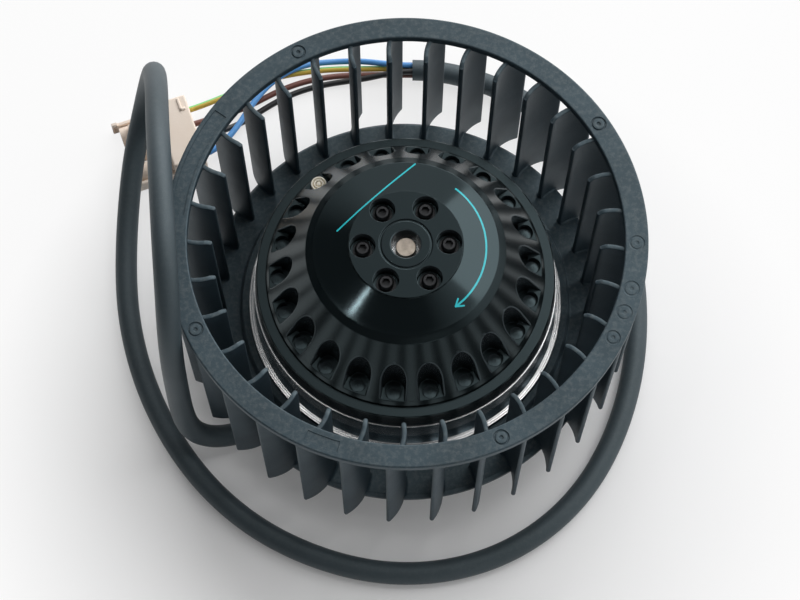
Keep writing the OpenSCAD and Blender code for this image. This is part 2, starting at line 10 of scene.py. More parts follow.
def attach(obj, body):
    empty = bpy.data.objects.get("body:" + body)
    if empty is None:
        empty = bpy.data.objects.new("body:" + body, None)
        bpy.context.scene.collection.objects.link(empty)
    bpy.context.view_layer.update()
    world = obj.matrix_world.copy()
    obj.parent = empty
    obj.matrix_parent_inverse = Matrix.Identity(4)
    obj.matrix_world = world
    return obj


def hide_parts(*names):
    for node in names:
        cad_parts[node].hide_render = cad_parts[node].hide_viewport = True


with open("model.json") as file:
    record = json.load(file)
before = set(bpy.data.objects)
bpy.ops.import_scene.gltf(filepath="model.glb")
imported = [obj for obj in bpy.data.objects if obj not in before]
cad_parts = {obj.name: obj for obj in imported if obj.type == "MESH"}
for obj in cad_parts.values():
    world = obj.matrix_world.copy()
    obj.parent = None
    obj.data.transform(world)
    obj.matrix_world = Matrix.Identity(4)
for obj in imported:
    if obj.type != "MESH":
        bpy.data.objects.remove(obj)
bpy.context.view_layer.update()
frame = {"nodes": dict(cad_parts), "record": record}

MM = 0.001
TURN = 2 * math.pi
scene = bpy.context.scene
scene.view_settings.view_transform = "Standard"

# Camera, at the photograph's viewing angle
CAMERA_AT = (-0.0016, -0.2227, 0.6269)
CAMERA_TILT = 20.16
CAMERA_ROLL = 0.43
CAMERA_LENS = 92.64
CAMERA_SENSOR = 36.0


def set_camera():
    data = bpy.data.cameras.new("view")
    data.lens = CAMERA_LENS
    data.sensor_width = CAMERA_SENSOR
    camera = bpy.data.objects.new("view", data)
    camera.matrix_world = (
        Matrix.Translation(CAMERA_AT)
        @ Matrix.Rotation(math.radians(CAMERA_TILT), 4, "X")
        @ Matrix.Rotation(math.radians(CAMERA_ROLL), 4, "Z")
    )
    scene.collection.objects.link(camera)
    scene.camera = camera


set_camera()

# Cord routes, the same points as the part's source, in millimetres
LEAD_ROUTE = [
    (-42, -36, 5.2), (-47.6, -38, 5.2), (-53.5, -40.2, 5.9), (-59.2, -41.8, 8.8),
    (-63.8, -42.4, 14.2), (-66.4, -41.8, 21.8), (-67.2, -40.4, 31.5), (-67.2, -39, 43),
    (-67, -37.8, 55), (-66.8, -36.2, 67), (-66.7, -31.6, 78.6), (-66.8, -22.2, 87.8),
    (-67.8, -9.4, 92.2), (-69.2, 4.6, 91.6), (-70.8, 18.4, 87.8), (-72.6, 31.4, 82),
    (-74.2, 43.4, 74.2), (-76, 54.2, 64.4), (-78.2, 63, 52.8), (-80.6, 68.2, 40),
    (-83.4, 67.8, 27.6), (-86.2, 62, 18.4), (-88.6, 52.5, 13), (-89.8, 41.5, 9.6),
    (-90.5, 29.5, 6.4), (-90.5, 17, 4.2), (-89.5, 4, 3.6), (-86.8, -9.5, 3.6),
    (-82.2, -23.5, 3.6), (-75.6, -37, 3.6), (-67, -50, 3.6), (-55.8, -62, 3.6),
    (-42, -72, 3.6), (-26, -79.2, 3.6), (-8.5, -83.6, 3.6), (10, -83.6, 3.6),
    (28, -79, 3.6), (44.5, -69.4, 3.6), (57.8, -55.6, 3.6), (67.2, -38, 3.6),
    (72.9, -19, 3.6), (75, 1, 3.6), (73.9, 21.5, 3.6), (68.3, 41.5, 3.6),
    (58.2, 60, 3.6), (44.2, 74.8, 3.6), (28, 84, 3.6), (12, 88.5, 3.6),
    (2, 88.5, 3.6),
]
LEAD_DIAMETER = 7.0
WIRE_DIAMETER = 2.0
CORD_STEPS = 8
CORD_ROUNDNESS = 7
PLUG_AT = (-73.5, 75.5)
PLUG_YAW = math.radians(200)
PLUG_MIDDLE = 5.5
WIRE_RUN_IN = 7.0


def on_plug(depth, width, height):
    """A point on the plug, from its depth, width and height."""
    c, s = math.cos(PLUG_YAW), math.sin(PLUG_YAW)
    return (PLUG_AT[0] + depth * c - width * s, PLUG_AT[1] + depth * s + width * c, height)


def to_plug(route, width):
    """A wire's route, ending square on the plug's rear face."""
    return route + [on_plug(-WIRE_RUN_IN, width, PLUG_MIDDLE), on_plug(0, width, PLUG_MIDDLE)]


WIRE_ROUTES = {
    "wire_blue": to_plug([
        (2, 89.7, 4.8), (-4, 89.7, 4.8), (-14, 92.4, 2.8), (-24, 92.6, 1.3),
        (-35, 90.8, 3.2), (-45, 84.5, 3.7), (-52, 75, 4.2),
    ], 20.5),
    "wire_earth": to_plug([
        (2, 89.7, 2.4), (-4, 89.7, 2.4), (-14, 90, 1.1), (-25, 90, 1.1),
        (-38, 88.3, 1.1), (-50, 84.3, 2.4),
    ], 3.5),
    "wire_brown": to_plug([
        (2, 87.3, 2.4), (-4, 87.3, 2.4), (-14, 87.8, 1.1), (-25, 87.4, 1.1),
        (-37, 84.6, 1.1), (-47, 79.4, 1.1), (-55, 74, 1.6),
    ], 9),
    "wire_black": to_plug([
        (2, 87.3, 4.8), (-4, 87.3, 4.8), (-13, 85.4, 2.8), (-25, 84.8, 1.1),
        (-37, 81.5, 1.1), (-47, 75.5, 1.1), (-55, 69, 1.3),
    ], 14.5),
}


def metres(point):
    return tuple(c * MM for c in point)


def cord_curve(name, route, diameter):
    """A round cord as one smooth open curve through its route."""
    data = bpy.data.curves.new(name, "CURVE")
    data.dimensions = "3D"
    data.resolution_u = CORD_STEPS
    data.bevel_depth = diameter / 2 * MM
    data.bevel_resolution = CORD_ROUNDNESS
    data.use_fill_caps = True
    spline = data.splines.new("NURBS")
    spline.points.add(len(route) - 1)
    for point, place in zip(spline.points, route):
        point.co = (*metres(place), 1)
    spline.order_u = 4
    spline.use_endpoint_u = True
    cord = bpy.data.objects.new(name, data)
    scene.collection.objects.link(cord)
    return cord


lead = cord_curve("lead", LEAD_ROUTE, LEAD_DIAMETER)
wires = {wire_node: cord_curve(wire_node.replace("wire", "core"), route, WIRE_DIAMETER)
         for wire_node, route in WIRE_ROUTES.items()}

# Mesh helpers
SAME_PLAN_POINT = 1e-6
NO_LENGTH = 1e-7
FILL_INSIDE = 1
LONGEST_BEND = 0.48


def polar(radius, angle, at=(0, 0)):
    return (at[0] + radius * math.cos(angle), at[1] + radius * math.sin(angle))


def ring_of(radius, angles, at=(0, 0)):
    return [polar(radius, a, at) for a in angles]


def even_angles(count, first=0.0):
    return [first + k * TURN / count for k in range(count)]


class Form:
    """Points in millimetres, each with an edge value, and faces, each smooth or flat."""
    def __init__(self):
        self.points, self.edges, self.faces, self.smooth = [], [], [], []

    def add(self, points, faces, edges=None, smooth=None):
        """More points and the faces between them."""
        base = len(self.points)
        self.points += points
        self.edges += edges or [0.0] * len(points)
        self.faces += [tuple(base + i for i in face) for face in faces]
        self.smooth += smooth or [True] * len(faces)

    def face(self, corners):
        """One more face between points that are there."""
        self.faces.append(tuple(corners))
        self.smooth.append(True)

    def grid(self, rows, edges=None, closed=False):
        """Quads between rows of equal length, joined end to end where closed."""
        wide = len(rows[0])
        faces = []
        for j in range(len(rows) - 1):
            for k in range(wide if closed else wide - 1):
                a, b = j * wide + k, j * wide + (k + 1) % wide
                faces.append((a, b, b + wide, a + wide))
        flags = [e for row in edges for e in row] if edges else None
        self.add([p for row in rows for p in row], faces, flags)

    def lathe(self, profile, angles, at=(0, 0), closed=False):
        """Turns a profile of radius, height and edge value about an upright axis."""
        rows, edges = [], []
        for r, z, e in profile + (profile[:1] if closed else []):
            rows.append([(*polar(r, a, at), z) for a in angles])
            edges.append([e] * len(angles))
        self.grid(rows, edges, closed=True)

    def pit(self, profile, spokes, at):
        """Turns a profile and closes its last ring with a flat sheet."""
        self.lathe(profile, spokes, at)
        self.fill([ring_of(profile[-1][0], spokes, at)], profile[-1][1])

    def fill(self, loops, z, keep=None, flip=False):
        """A flat sheet between loops of plan points, without the triangles that keep turns down."""
        plan, links = [], []
        for loop in loops:
            base = len(plan)
            plan += [Vector(p[:2]) for p in loop]
            links += [(base + i, base + (i + 1) % len(loop)) for i in range(len(loop))]
        found, _, faces, _, _, _ = delaunay_2d_cdt(plan, links, [], FILL_INSIDE, SAME_PLAN_POINT)
        kept = []
        for face in faces:
            x = sum(found[i][0] for i in face) / len(face)
            y = sum(found[i][1] for i in face) / len(face)
            if keep is None or keep(x, y):
                kept.append(tuple(reversed(face)) if flip else tuple(face))
        self.add([(p[0], p[1], z) for p in found], kept, smooth=[False] * len(kept))

    def copies(self, other, count, first):
        """Copies of another form round the axis."""
        for k in range(count):
            turn = first + k * TURN / count
            c, s = math.cos(turn), math.sin(turn)
            self.add([(x * c - y * s, x * s + y * c, z) for x, y, z in other.points],
                     other.faces, list(other.edges), list(other.smooth))

    def piece(self, name, weld=0.002, sharp=40):
        """A mesh object in metres, welded, smooth but for its sharp edges, with no painted edge highlight on
        flat faces.
        """
        mesh = bpy.data.meshes.new(name)
        mesh.from_pydata([metres(p) for p in self.points], [], self.faces)
        mesh.polygons.foreach_set("use_smooth", self.smooth)
        layer = mesh.attributes.new("edge", "FLOAT", "POINT")
        layer.data.foreach_set("value", self.edges)
        work = bmesh.new()
        work.from_mesh(mesh)
        bmesh.ops.remove_doubles(work, verts=work.verts, dist=weld * MM)
        bmesh.ops.dissolve_degenerate(work, edges=work.edges, dist=NO_LENGTH)
        bmesh.ops.recalc_face_normals(work, faces=work.faces)
        for edge in work.edges:
            if edge.is_manifold:
                one, other = edge.link_faces
                gentle = edge.calc_face_angle() < math.radians(sharp)
                edge.smooth = gentle and one.smooth == other.smooth
        # Flat faces get an edge value of nought, so the painted edge highlight stays off them
        highlit = work.verts.layers.float["edge"]
        for face in work.faces:
            if not face.smooth:
                for corner in face.verts:
                    corner[highlit] = 0.0
            face.smooth = True
        work.to_mesh(mesh)
        work.free()
        made = bpy.data.objects.new(name, mesh)
        scene.collection.objects.link(made)
        level = made.modifiers.new("even_normals", "WEIGHTED_NORMAL")
        level.keep_sharp = True
        return made


def rounded(corners, steps=4, closed=False):
    """A profile with arcs at its corners, each given as radius, height and rounding; outer arcs are edges."""
    made = []
    last = len(corners) - 1
    for i, corner in enumerate(corners):
        r, z = corner[0], corner[1]
        bend = corner[2] if len(corner) > 2 else 0
        if bend == 0 or (not closed and i in (0, last)):
            made.append((r, z, 0.0))
            continue
        here = Vector((r, z))
        back = Vector(corners[i - 1][:2]) - here
        on = Vector(corners[(i + 1) % len(corners)][:2]) - here
        half = back.angle(on) / 2
        reach = min(bend / math.tan(half), LONGEST_BEND * back.length, LONGEST_BEND * on.length)
        radius = reach * math.tan(half)
        middle = here + (back.normalized() + on.normalized()).normalized() * (radius / math.sin(half))
        start = here + back.normalized() * reach - middle
        end = here + on.normalized() * reach - middle
        hollow = back[0] * on[1] - back[1] * on[0]
        turn = start.angle_signed(end)
        for k in range(steps + 1):
            c, s = math.cos(turn * k / steps), math.sin(turn * k / steps)
            spoke = Vector((start[0] * c + start[1] * s, start[1] * c - start[0] * s))
            made.append((middle[0] + spoke[0], middle[1] + spoke[1], 1.0 if hollow < 0 else 0.0))
    return made


# Wheel sizes in millimetres, the same as the part's source but for the blades' free tops and their turn
WHEEL_RADIUS = 70.0
WHEEL_TOP = 76.0
WHEEL_FOOT = 14.0
RING_RADIUS = 63.2
RING_UNDER = 73.3
RING_MIDDLE = 66.6
BLADES = 33
BLADE_PHASE = math.radians(3.6)
BLADE_HALF = 0.7
BLADE_TOP = 74.6
BEND_RADIUS = 59.0
BEND_ARC = 13.75
BEND_SHIFT = math.radians(4.49)
BLADE_FIRST = math.radians(-9.7)
BLADE_LAST = math.radians(47.6)
BLADE_STEPS = 14
BLADE_CORNER = 57.5
BLADE_CORNER_FALL = 0.9
BLADE_IN_RING = 0.3
RING_JOINT = RING_RADIUS + 0.4
RING_SPOKES = BLADES * 8
DISH_RADIUS = 63.0
DISH_EDGE = 62.0
DISH_TOP = 17.0
DISH_RISE = 0.6
COLLAR_RADIUS = 51.0
COLLAR_TOP = 20.0
DISH_SPOKES = 192
BAND_RADIUS = 48.8

# Marks on the ring: angle, radius and depth; sunk panels: two angles, two radii and depth
RING_MARKS = [(32.0 + 87.273 * k, 2.3, 0.4) for k in range(4)] + [
    (-2.0, 2.3, 0.15), (-14.3, 2.4, 0.15), (-20.8, 2.4, 0.15), (-28.0, 2.2, 0.2),
]
MARK_SPOKES = 28
RING_PANELS = [(145.5, 175.5, 64.5, 68.7, 0.3), (245.5, 254.0, 65.0, 68.2, 0.22)]

# Levels of a blade's mesh: over its foot, over the dish, up the wall, and under its free or joined top
FOOT_LEVELS = (0.0, 0.1, 0.35)
ROOT_LEVELS = (-0.2, 0.02, 0.2, 0.5, 1.0)
WALL_LEVELS = (26.0, 38.0, 50.0, 62.0)
FREE_LEVELS = (1.35, 1.0, 0.65, 0.4, 0.15, 0.0)
JOINED_LEVELS = (1.35, 1.0, 0.65, 0.45, 0.32, 0.0)
FIRST_ROOT = len(FOOT_LEVELS)
FIRST_WALL = FIRST_ROOT + len(ROOT_LEVELS)
FIRST_TOP = FIRST_WALL + len(WALL_LEVELS)
ALL_LEVELS = FIRST_TOP + len(FREE_LEVELS)
BLADE_FILLET = 0.9
TOP_ROUND = 0.4
FOOT_ROUND = 0.35
THINNEST_HALF = 0.3
END_TURNS = (30, 60, 90, 120, 150)
END_BULGE = 0.9


def mark_profile(radius, depth):
    """A moulded round mark: a groove, a flat button and a small dimple."""
    top = WHEEL_TOP
    return rounded([
        (radius + 0.12, top), (radius, top, 0.08), (radius - 0.12, top - depth, 0.1),
        (radius - 0.5, top - depth, 0.1), (radius - 0.62, top - 0.04, 0.08),
        (0.62, top - 0.04, 0.08), (0.5, top - depth, 0.1), (0.05, top - depth),
    ], steps=2)


def panel_loop(a0, a1, r0, r1, inset, count=24):
    """Outline of a sunk panel between two angles and two radii of the ring."""
    d = inset / RING_MIDDLE
    spread = [math.radians(a0) + d + (math.radians(a1 - a0) - 2 * d) * k / count for k in range(count + 1)]
    return ring_of(r1 - inset, spread) + ring_of(r0 + inset, reversed(spread))


def wheel_ring():
    """The inlet ring, with round marks and sunk panels in its top face."""
    form = Form()
    angles = even_angles(RING_SPOKES)
    side = rounded([
        (RING_MIDDLE, WHEEL_TOP), (RING_RADIUS, WHEEL_TOP, 0.45), (RING_RADIUS, RING_UNDER, 0.3),
        (WHEEL_RADIUS, RING_UNDER, 0.35), (WHEEL_RADIUS, WHEEL_TOP, 0.5), (RING_MIDDLE + 1, WHEEL_TOP),
    ])[1:-1]
    form.lathe(side, angles)
    holes = []
    for angle, radius, depth in RING_MARKS:
        at = polar(RING_MIDDLE, math.radians(angle))
        spokes = even_angles(MARK_SPOKES)
        profile = mark_profile(radius, depth)
        holes.append((ring_of(profile[0][0], spokes, at), at, profile[0][0]))
        form.pit(profile, spokes, at)
    loops = [ring_of(side[-1][0], angles), ring_of(side[0][0], angles)] + [h[0] for h in holes]
    for a0, a1, r0, r1, depth in RING_PANELS:
        bands = [(0, WHEEL_TOP), (0.05, WHEEL_TOP - 0.03), (0.14, WHEEL_TOP - depth)]
        outlines = [panel_loop(a0, a1, r0, r1, inset) for inset, _ in bands]
        form.grid([[(x, y, z) for x, y in line] for line, (_, z) in zip(outlines, bands)],
                  [[flag] * len(outlines[0]) for flag in (1.0, 1.0, 0.0)], closed=True)
        form.fill([outlines[-1]], WHEEL_TOP - depth)
        loops.append(outlines[0])

    def on_top(x, y):
        r, a = math.hypot(x, y), math.degrees(math.atan2(y, x)) % 360
        if r < side[0][0] or any(math.hypot(x - at[0], y - at[1]) < near for _, at, near in holes):
            return False
        return not any(a0 < a < a1 and r0 < r < r1 for a0, a1, r0, r1, _ in RING_PANELS)

    form.fill(loops, WHEEL_TOP, on_top)
    return form.piece("wheel_ring")


def share(value):
    return max(0.0, min(1.0, value))


def dish_height(r):
    """Height of the dish's top face at a radius."""
    return DISH_TOP + DISH_RISE * share((DISH_EDGE - r) / (DISH_EDGE - COLLAR_RADIUS))


def blade_top(r):
    """Height of a blade's top edge at a radius: level, and under the ring up into it."""
    if r >= RING_JOINT:
        return RING_UNDER + BLADE_IN_RING
    return BLADE_TOP - BLADE_CORNER_FALL * max(0.0, BLADE_CORNER - r)


def quarter(distance, radius):
    """Growth of a wall towards a face that it runs into, as a fillet of that radius."""
    if distance >= radius:
        return 0.0
    d = radius - max(0.0, distance)
    return radius - math.sqrt(radius * radius - d * d)


def blade_form():
    """One blade, its section drawn round its bent middle line and stacked upwards."""
    def middle(t):
        x = BEND_RADIUS + BEND_ARC * math.sin(t)
        y = BEND_ARC * (math.cos(t) - 1)
        c, s = math.cos(BEND_SHIFT), math.sin(BEND_SHIFT)
        return Vector((x * c - y * s, x * s + y * c))

    def out(t):
        a = math.pi / 2 - t + BEND_SHIFT
        return Vector((math.cos(a), math.sin(a)))

    stations = [BLADE_FIRST + (BLADE_LAST - BLADE_FIRST) * k / BLADE_STEPS for k in range(BLADE_STEPS + 1)]

    def height(r, level):
        heights = [WHEEL_FOOT + up for up in FOOT_LEVELS]
        heights += [dish_height(r) + up for up in ROOT_LEVELS]
        heights += WALL_LEVELS
        heights += [blade_top(r) - down for down in (FREE_LEVELS if r < RING_JOINT else JOINED_LEVELS)]
        return heights[level]

    def half(r, z, level):
        """Half the blade's thickness, with fillets at the ring and the dish and rounded free edges."""
        made = BLADE_HALF
        under_ring = share(min((r - RING_RADIUS - 0.3) / 0.4, (WHEEL_RADIUS - 0.6 - r) / 2))
        if level >= FIRST_TOP:
            made += under_ring * quarter(RING_UNDER - z, BLADE_FILLET)
            made -= (1 - under_ring) * quarter(blade_top(r) - z, TOP_ROUND)
        over_dish = share((DISH_RADIUS - 0.3 - r) / 0.8)
        if FIRST_ROOT <= level < FIRST_WALL:
            made += over_dish * quarter(z - dish_height(r), BLADE_FILLET)
        if level < FIRST_ROOT:
            made -= (1 - over_dish) * quarter(z - WHEEL_FOOT, FOOT_ROUND)
        return max(THINNEST_HALF, made)

    def place(t, way, level):
        """A point on one side of the blade at a level."""
        m = middle(t)
        z = height(m.length, level)
        p = m + out(t) * half(m.length, z, level) if way == 1 else m - out(t) * half(m.length, z, level)
        return (p[0], p[1], z)

    form = Form()
    rows, flags = [], []
    for level in range(ALL_LEVELS):
        row = [place(t, 1, level) for t in stations]
        flag = [0.0] * len(stations)
        for t, way in ((stations[-1], 1), (stations[0], -1)):
            m, n = middle(t), out(t)
            along = Vector((n[1], -n[0])) * way
            z = height(m.length, level)
            h = half(m.length, z, level)
            for turn in END_TURNS:
                a = math.radians(turn)
                p = m + n * (h * math.cos(a) * way) + along * (min(h, BLADE_HALF) * math.sin(a) * END_BULGE)
                row.append((p[0], p[1], z))
                flag.append(1.0)
            if way == 1:
                row += [place(back, -1, level) for back in reversed(stations)]
                flag += [0.0] * len(stations)
        if level in (0, ALL_LEVELS - 1):
            flag = [1.0] * len(row)
        rows.append(row)
        flags.append(flag)
    form.grid(rows, flags, closed=True)
    wide, n, end = len(rows[0]), len(stations), len(END_TURNS)
    for level in (0, ALL_LEVELS - 1):
        base = level * wide
        for k in range(n - 1):
            other = n + end + (n - 1 - k)
            form.face((base + k, base + k + 1, base + other - 1, base + other))
        form.face(base + i for i in range(n - 1, n + end + 1))
        form.face(base + i % wide for i in range(2 * n + end - 1, wide + 1))
    return form


def wheel_blades():
    form = Form()
    form.copies(blade_form(), BLADES, BLADE_PHASE)
    return form.piece("wheel_blades", weld=0.0005)


def wheel_dish():
    form = Form()
    profile = rounded([
        (BAND_RADIUS, WHEEL_FOOT, 0.3), (DISH_RADIUS, WHEEL_FOOT, 0.3), (DISH_RADIUS, 15.8, 0.4),
        (DISH_EDGE, DISH_TOP, 0.6), (COLLAR_RADIUS + 0.8, DISH_TOP + DISH_RISE, 0.8),
        (COLLAR_RADIUS, COLLAR_TOP, 0.3), (BAND_RADIUS, COLLAR_TOP, 0.3),
    ], closed=True)
    form.lathe(profile, even_angles(DISH_SPOKES), closed=True)
    return form.piece("wheel_dish")


# Rotor cover sizes, the same as the part's source, in millimetres
CUPS = 22
HALF_STEP = math.pi / CUPS
CUP_PHASE = math.radians(3.2)
CUP_HALF = 3.6
CUP_MIDDLE = 37.3
CUP_ROWS = (CUP_MIDDLE, 38.1, 39.0, 39.8, 40.4, 40.8, 41.0, 41.1)
SLOPE_ROWS = (21.5, 24.0, 26.5, 31.0, 32.0, 33.0)
INNER_SIDE = 32.0
INNER_LOWEST = 50.0
MOUTH = 41.31
COLUMNS = 5
LIP_ROUND = 0.35
SOLE_ROUND = 0.3
ROUND_SHARE = 0.4
WALL_DRAFT = 0.02
SLOPE_STEP = 0.05
LEDGE = 45.6
WELL_FLOOR = 43.0
WELL_RADIUS = 2.5
PEG_TOP = 43.8
PEG_RADIUS = 2.05
PEG_CIRCLE = 38.4
PEG_SPOKES = 32
COVER_TOP = 68.0
STACK_TOP = 36.0
SCREWS = 6
SCREW_PHASE = math.radians(3.4)
SCREW_CIRCLE = 12.7
POCKET_RADIUS = 3.8
POCKET_FLOOR = 63.8
POCKET_SPOKES = 40
BORE_RADIUS = 4.35
BORE_FOOT = 59.0
RIM_RADIUS = 45.6
RIM_BORE = 40.4
COVER_INSIDE = [
    (RIM_BORE, STACK_TOP), (RIM_BORE, 41.6), (31.5, 41.6), (31.5, 55.5), (26.0, 60.5),
    (17.3, BORE_FOOT), (BORE_RADIUS, BORE_FOOT),
]
COVER_SIDE = rounded([
    (16.2, COVER_TOP), (16.8, COVER_TOP, 0.1), (16.9, 67.4, 0.15), (27.4, 64.9, 0.5),
    (29.6, 63.5, 0.5), (42.2, 44.24, 0.7), (42.2, 43.0, 0.3), (45.4, 43.0, 0.45),
    (46.1, STACK_TOP, 0.2), (RIM_RADIUS, STACK_TOP),
], steps=5)[1:]


def side_height(r):
    """Height of the cover's sloping side at a radius."""
    for (r0, z0, _), (r1, z1, _) in zip(COVER_SIDE, COVER_SIDE[1:]):
        if r0 <= r <= r1 and r1 > r0:
            return z0 + (z1 - z0) * (r - r0) / (r1 - r0)
    return STACK_TOP


def side_normal(r):
    """Way that the sloping side faces at a radius, as radius and height."""
    slope = (side_height(r + SLOPE_STEP) - side_height(r - SLOPE_STEP)) / (2 * SLOPE_STEP)
    return Vector((-slope, 1)).normalized()


def cup_outline():
    """Half of a cup's rim, from its deep inner end to its mouth: place, inward way and floor height."""
    made = []
    for k in range(10):
        a = math.pi - k * math.pi / 18
        made.append((CUP_MIDDLE + CUP_HALF * math.cos(a), CUP_HALF * math.sin(a),
                     -math.cos(a), -math.sin(a), WELL_FLOOR))
    for x in CUP_ROWS:
        made.append((x, CUP_HALF, 0.0, -1.0, LEDGE))
    return made


def step_line(grow, end):
    """Plan of the step from a cup's shelf down to its deep part and its round well."""
    x, r = CUP_MIDDLE + grow, WELL_RADIUS + grow
    turn = math.acos((x - PEG_CIRCLE) / r)
    arc = ring_of(r, [turn * (1 - k / 14) for k in range(29)], (PEG_CIRCLE, 0))
    return [(CUP_MIDDLE, end)] + arc + [(CUP_MIDDLE, -end)]


def cup_floor(sector, deep, shelf):
    """A cup's shelf in its outer corners, its deep floor and the peg that stands in its well."""
    end = shelf[0][1]
    steps = ((0.1, LEDGE), (0, LEDGE - 0.1), (-0.05, WELL_FLOOR))
    lines = [(step_line(grow, end), z) for grow, z in steps]
    wide = len(lines[0][0])
    sector.grid([[(x, y, z) for x, y in line] for line, z in lines],
                [[flag] * wide for flag in (1.0, 1.0, 0.0)])
    sector.fill([shelf + [(x, -y) for x, y in shelf[-2::-1]] + lines[0][0][-2:0:-1]], LEDGE)
    peg = rounded([
        (WELL_RADIUS, WELL_FLOOR), (PEG_RADIUS, WELL_FLOOR, 0.1), (PEG_RADIUS, PEG_TOP, 0.07),
        (0.05, PEG_TOP),
    ], steps=3)[1:]
    spokes, at = even_angles(PEG_SPOKES), (PEG_CIRCLE, 0)
    sector.pit(peg, spokes, at)
    around = deep + lines[2][0][1:-1] + [(x, -y) for x, y in deep[:0:-1]]
    sector.fill([around, ring_of(peg[0][0], spokes, at)], WELL_FLOOR,
                lambda x, y: math.hypot(x - at[0], y) > peg[0][0])


def cover_sector():
    """A cup's sector of the cover: half of it as rows that run out from the hub's edge, mirrored."""
    def outside(r, z, start):
        return [(*polar(r, start + (HALF_STEP - start) * k / COLUMNS), z) for k in range(COLUMNS + 1)]

    half = Form()
    inner_rows = [(r, z) for r, z, _ in COVER_SIDE if r < INNER_SIDE and z > INNER_LOWEST]
    inner_rows += [(r, side_height(r)) for r in SLOPE_ROWS]
    before = [outside(r, z, 0.0) for r, z in sorted(inner_rows)]
    rows, flags, deep, shelf = [], [], [], []
    for x, y, nx, ny, floor in cup_outline():
        r = math.hypot(x, y)
        edge = Vector((x, y, side_height(r)))
        depth = edge[2] - LEDGE
        slope = side_normal(r)
        face = Vector((slope[0] * x / r, slope[0] * y / r, slope[1]))
        wall = Vector((nx, ny, 0))
        bend = min(LIP_ROUND, ROUND_SHARE * depth)
        heart = edge - (face + wall) * (bend / (1 + face.dot(wall)))
        lip = [heart + face.slerp(wall, k / 4) * bend for k in range(5)]
        sole = min(SOLE_ROUND, ROUND_SHARE * depth)
        bends = (0, 0.5, 1.05, math.pi / 2)
        toe = [edge + wall * (WALL_DRAFT * depth + sole * (1 - math.cos(b))) for b in bends]
        toe = [Vector((p[0], p[1], floor + sole * (1 - math.sin(b)))) for p, b in zip(toe, bends)]
        r0 = math.hypot(lip[0][0], lip[0][1])
        wide = outside(r0, side_height(r0), math.atan2(lip[0][1], lip[0][0]))
        rows.append([tuple(p) for p in toe[::-1] + lip[:0:-1]] + wide)
        flags.append([0.0] * len(toe) + [1.0] * len(lip[1:]) + [1.0] + [0.0] * COLUMNS)
        (deep if floor == WELL_FLOOR else shelf).append(tuple(toe[-1][:2]))
    lead_in = len(rows[0]) - COLUMNS - 1
    edge_angle = math.asin(CUP_HALF / MOUTH)
    across = [edge_angle * k / 4 for k in range(5)]
    drop = [(MOUTH - 0.12, LEDGE), (MOUTH - 0.03, LEDGE - 0.03), (MOUTH + 0.06, side_height(MOUTH + 0.06))]
    foot = [(r, z) for r, z, _ in COVER_SIDE if r > MOUTH + 0.1 and z < LEDGE]
    beyond = []
    for r, z in drop[:2]:
        side = outside(r, side_height(r), edge_angle)
        beyond.append([(*polar(r, edge_angle), z)] * lead_in + side)
    for r, z in drop[2:] + foot:
        side = outside(r, z, edge_angle)
        beyond.append([side[0]] * lead_in + side)
    flags += [[1.0] * lead_in + [0.0] * (COLUMNS + 1)] * 2 + [[0.0] * len(rows[0])] * (len(beyond) - 2)
    half.grid(before + [rows[0][lead_in:]])
    half.grid(rows + beyond, flags)
    half.grid([[(*polar(r, a), z) for a in across] for r, z in drop + foot])
    sector = Form()
    sector.add(half.points, half.faces, half.edges)
    sector.add([(x, -y, z) for x, y, z in half.points], [tuple(reversed(f)) for f in half.faces], half.edges)
    shelf += ring_of(drop[0][0], across[::-1])
    shelf = [p for i, p in enumerate(shelf) if i == 0 or math.dist(p, shelf[i - 1]) > 0.01]
    cup_floor(sector, deep, shelf)
    fan = across + [edge_angle + (HALF_STEP - edge_angle) * k / COLUMNS for k in range(1, COLUMNS + 1)]
    return sector, fan


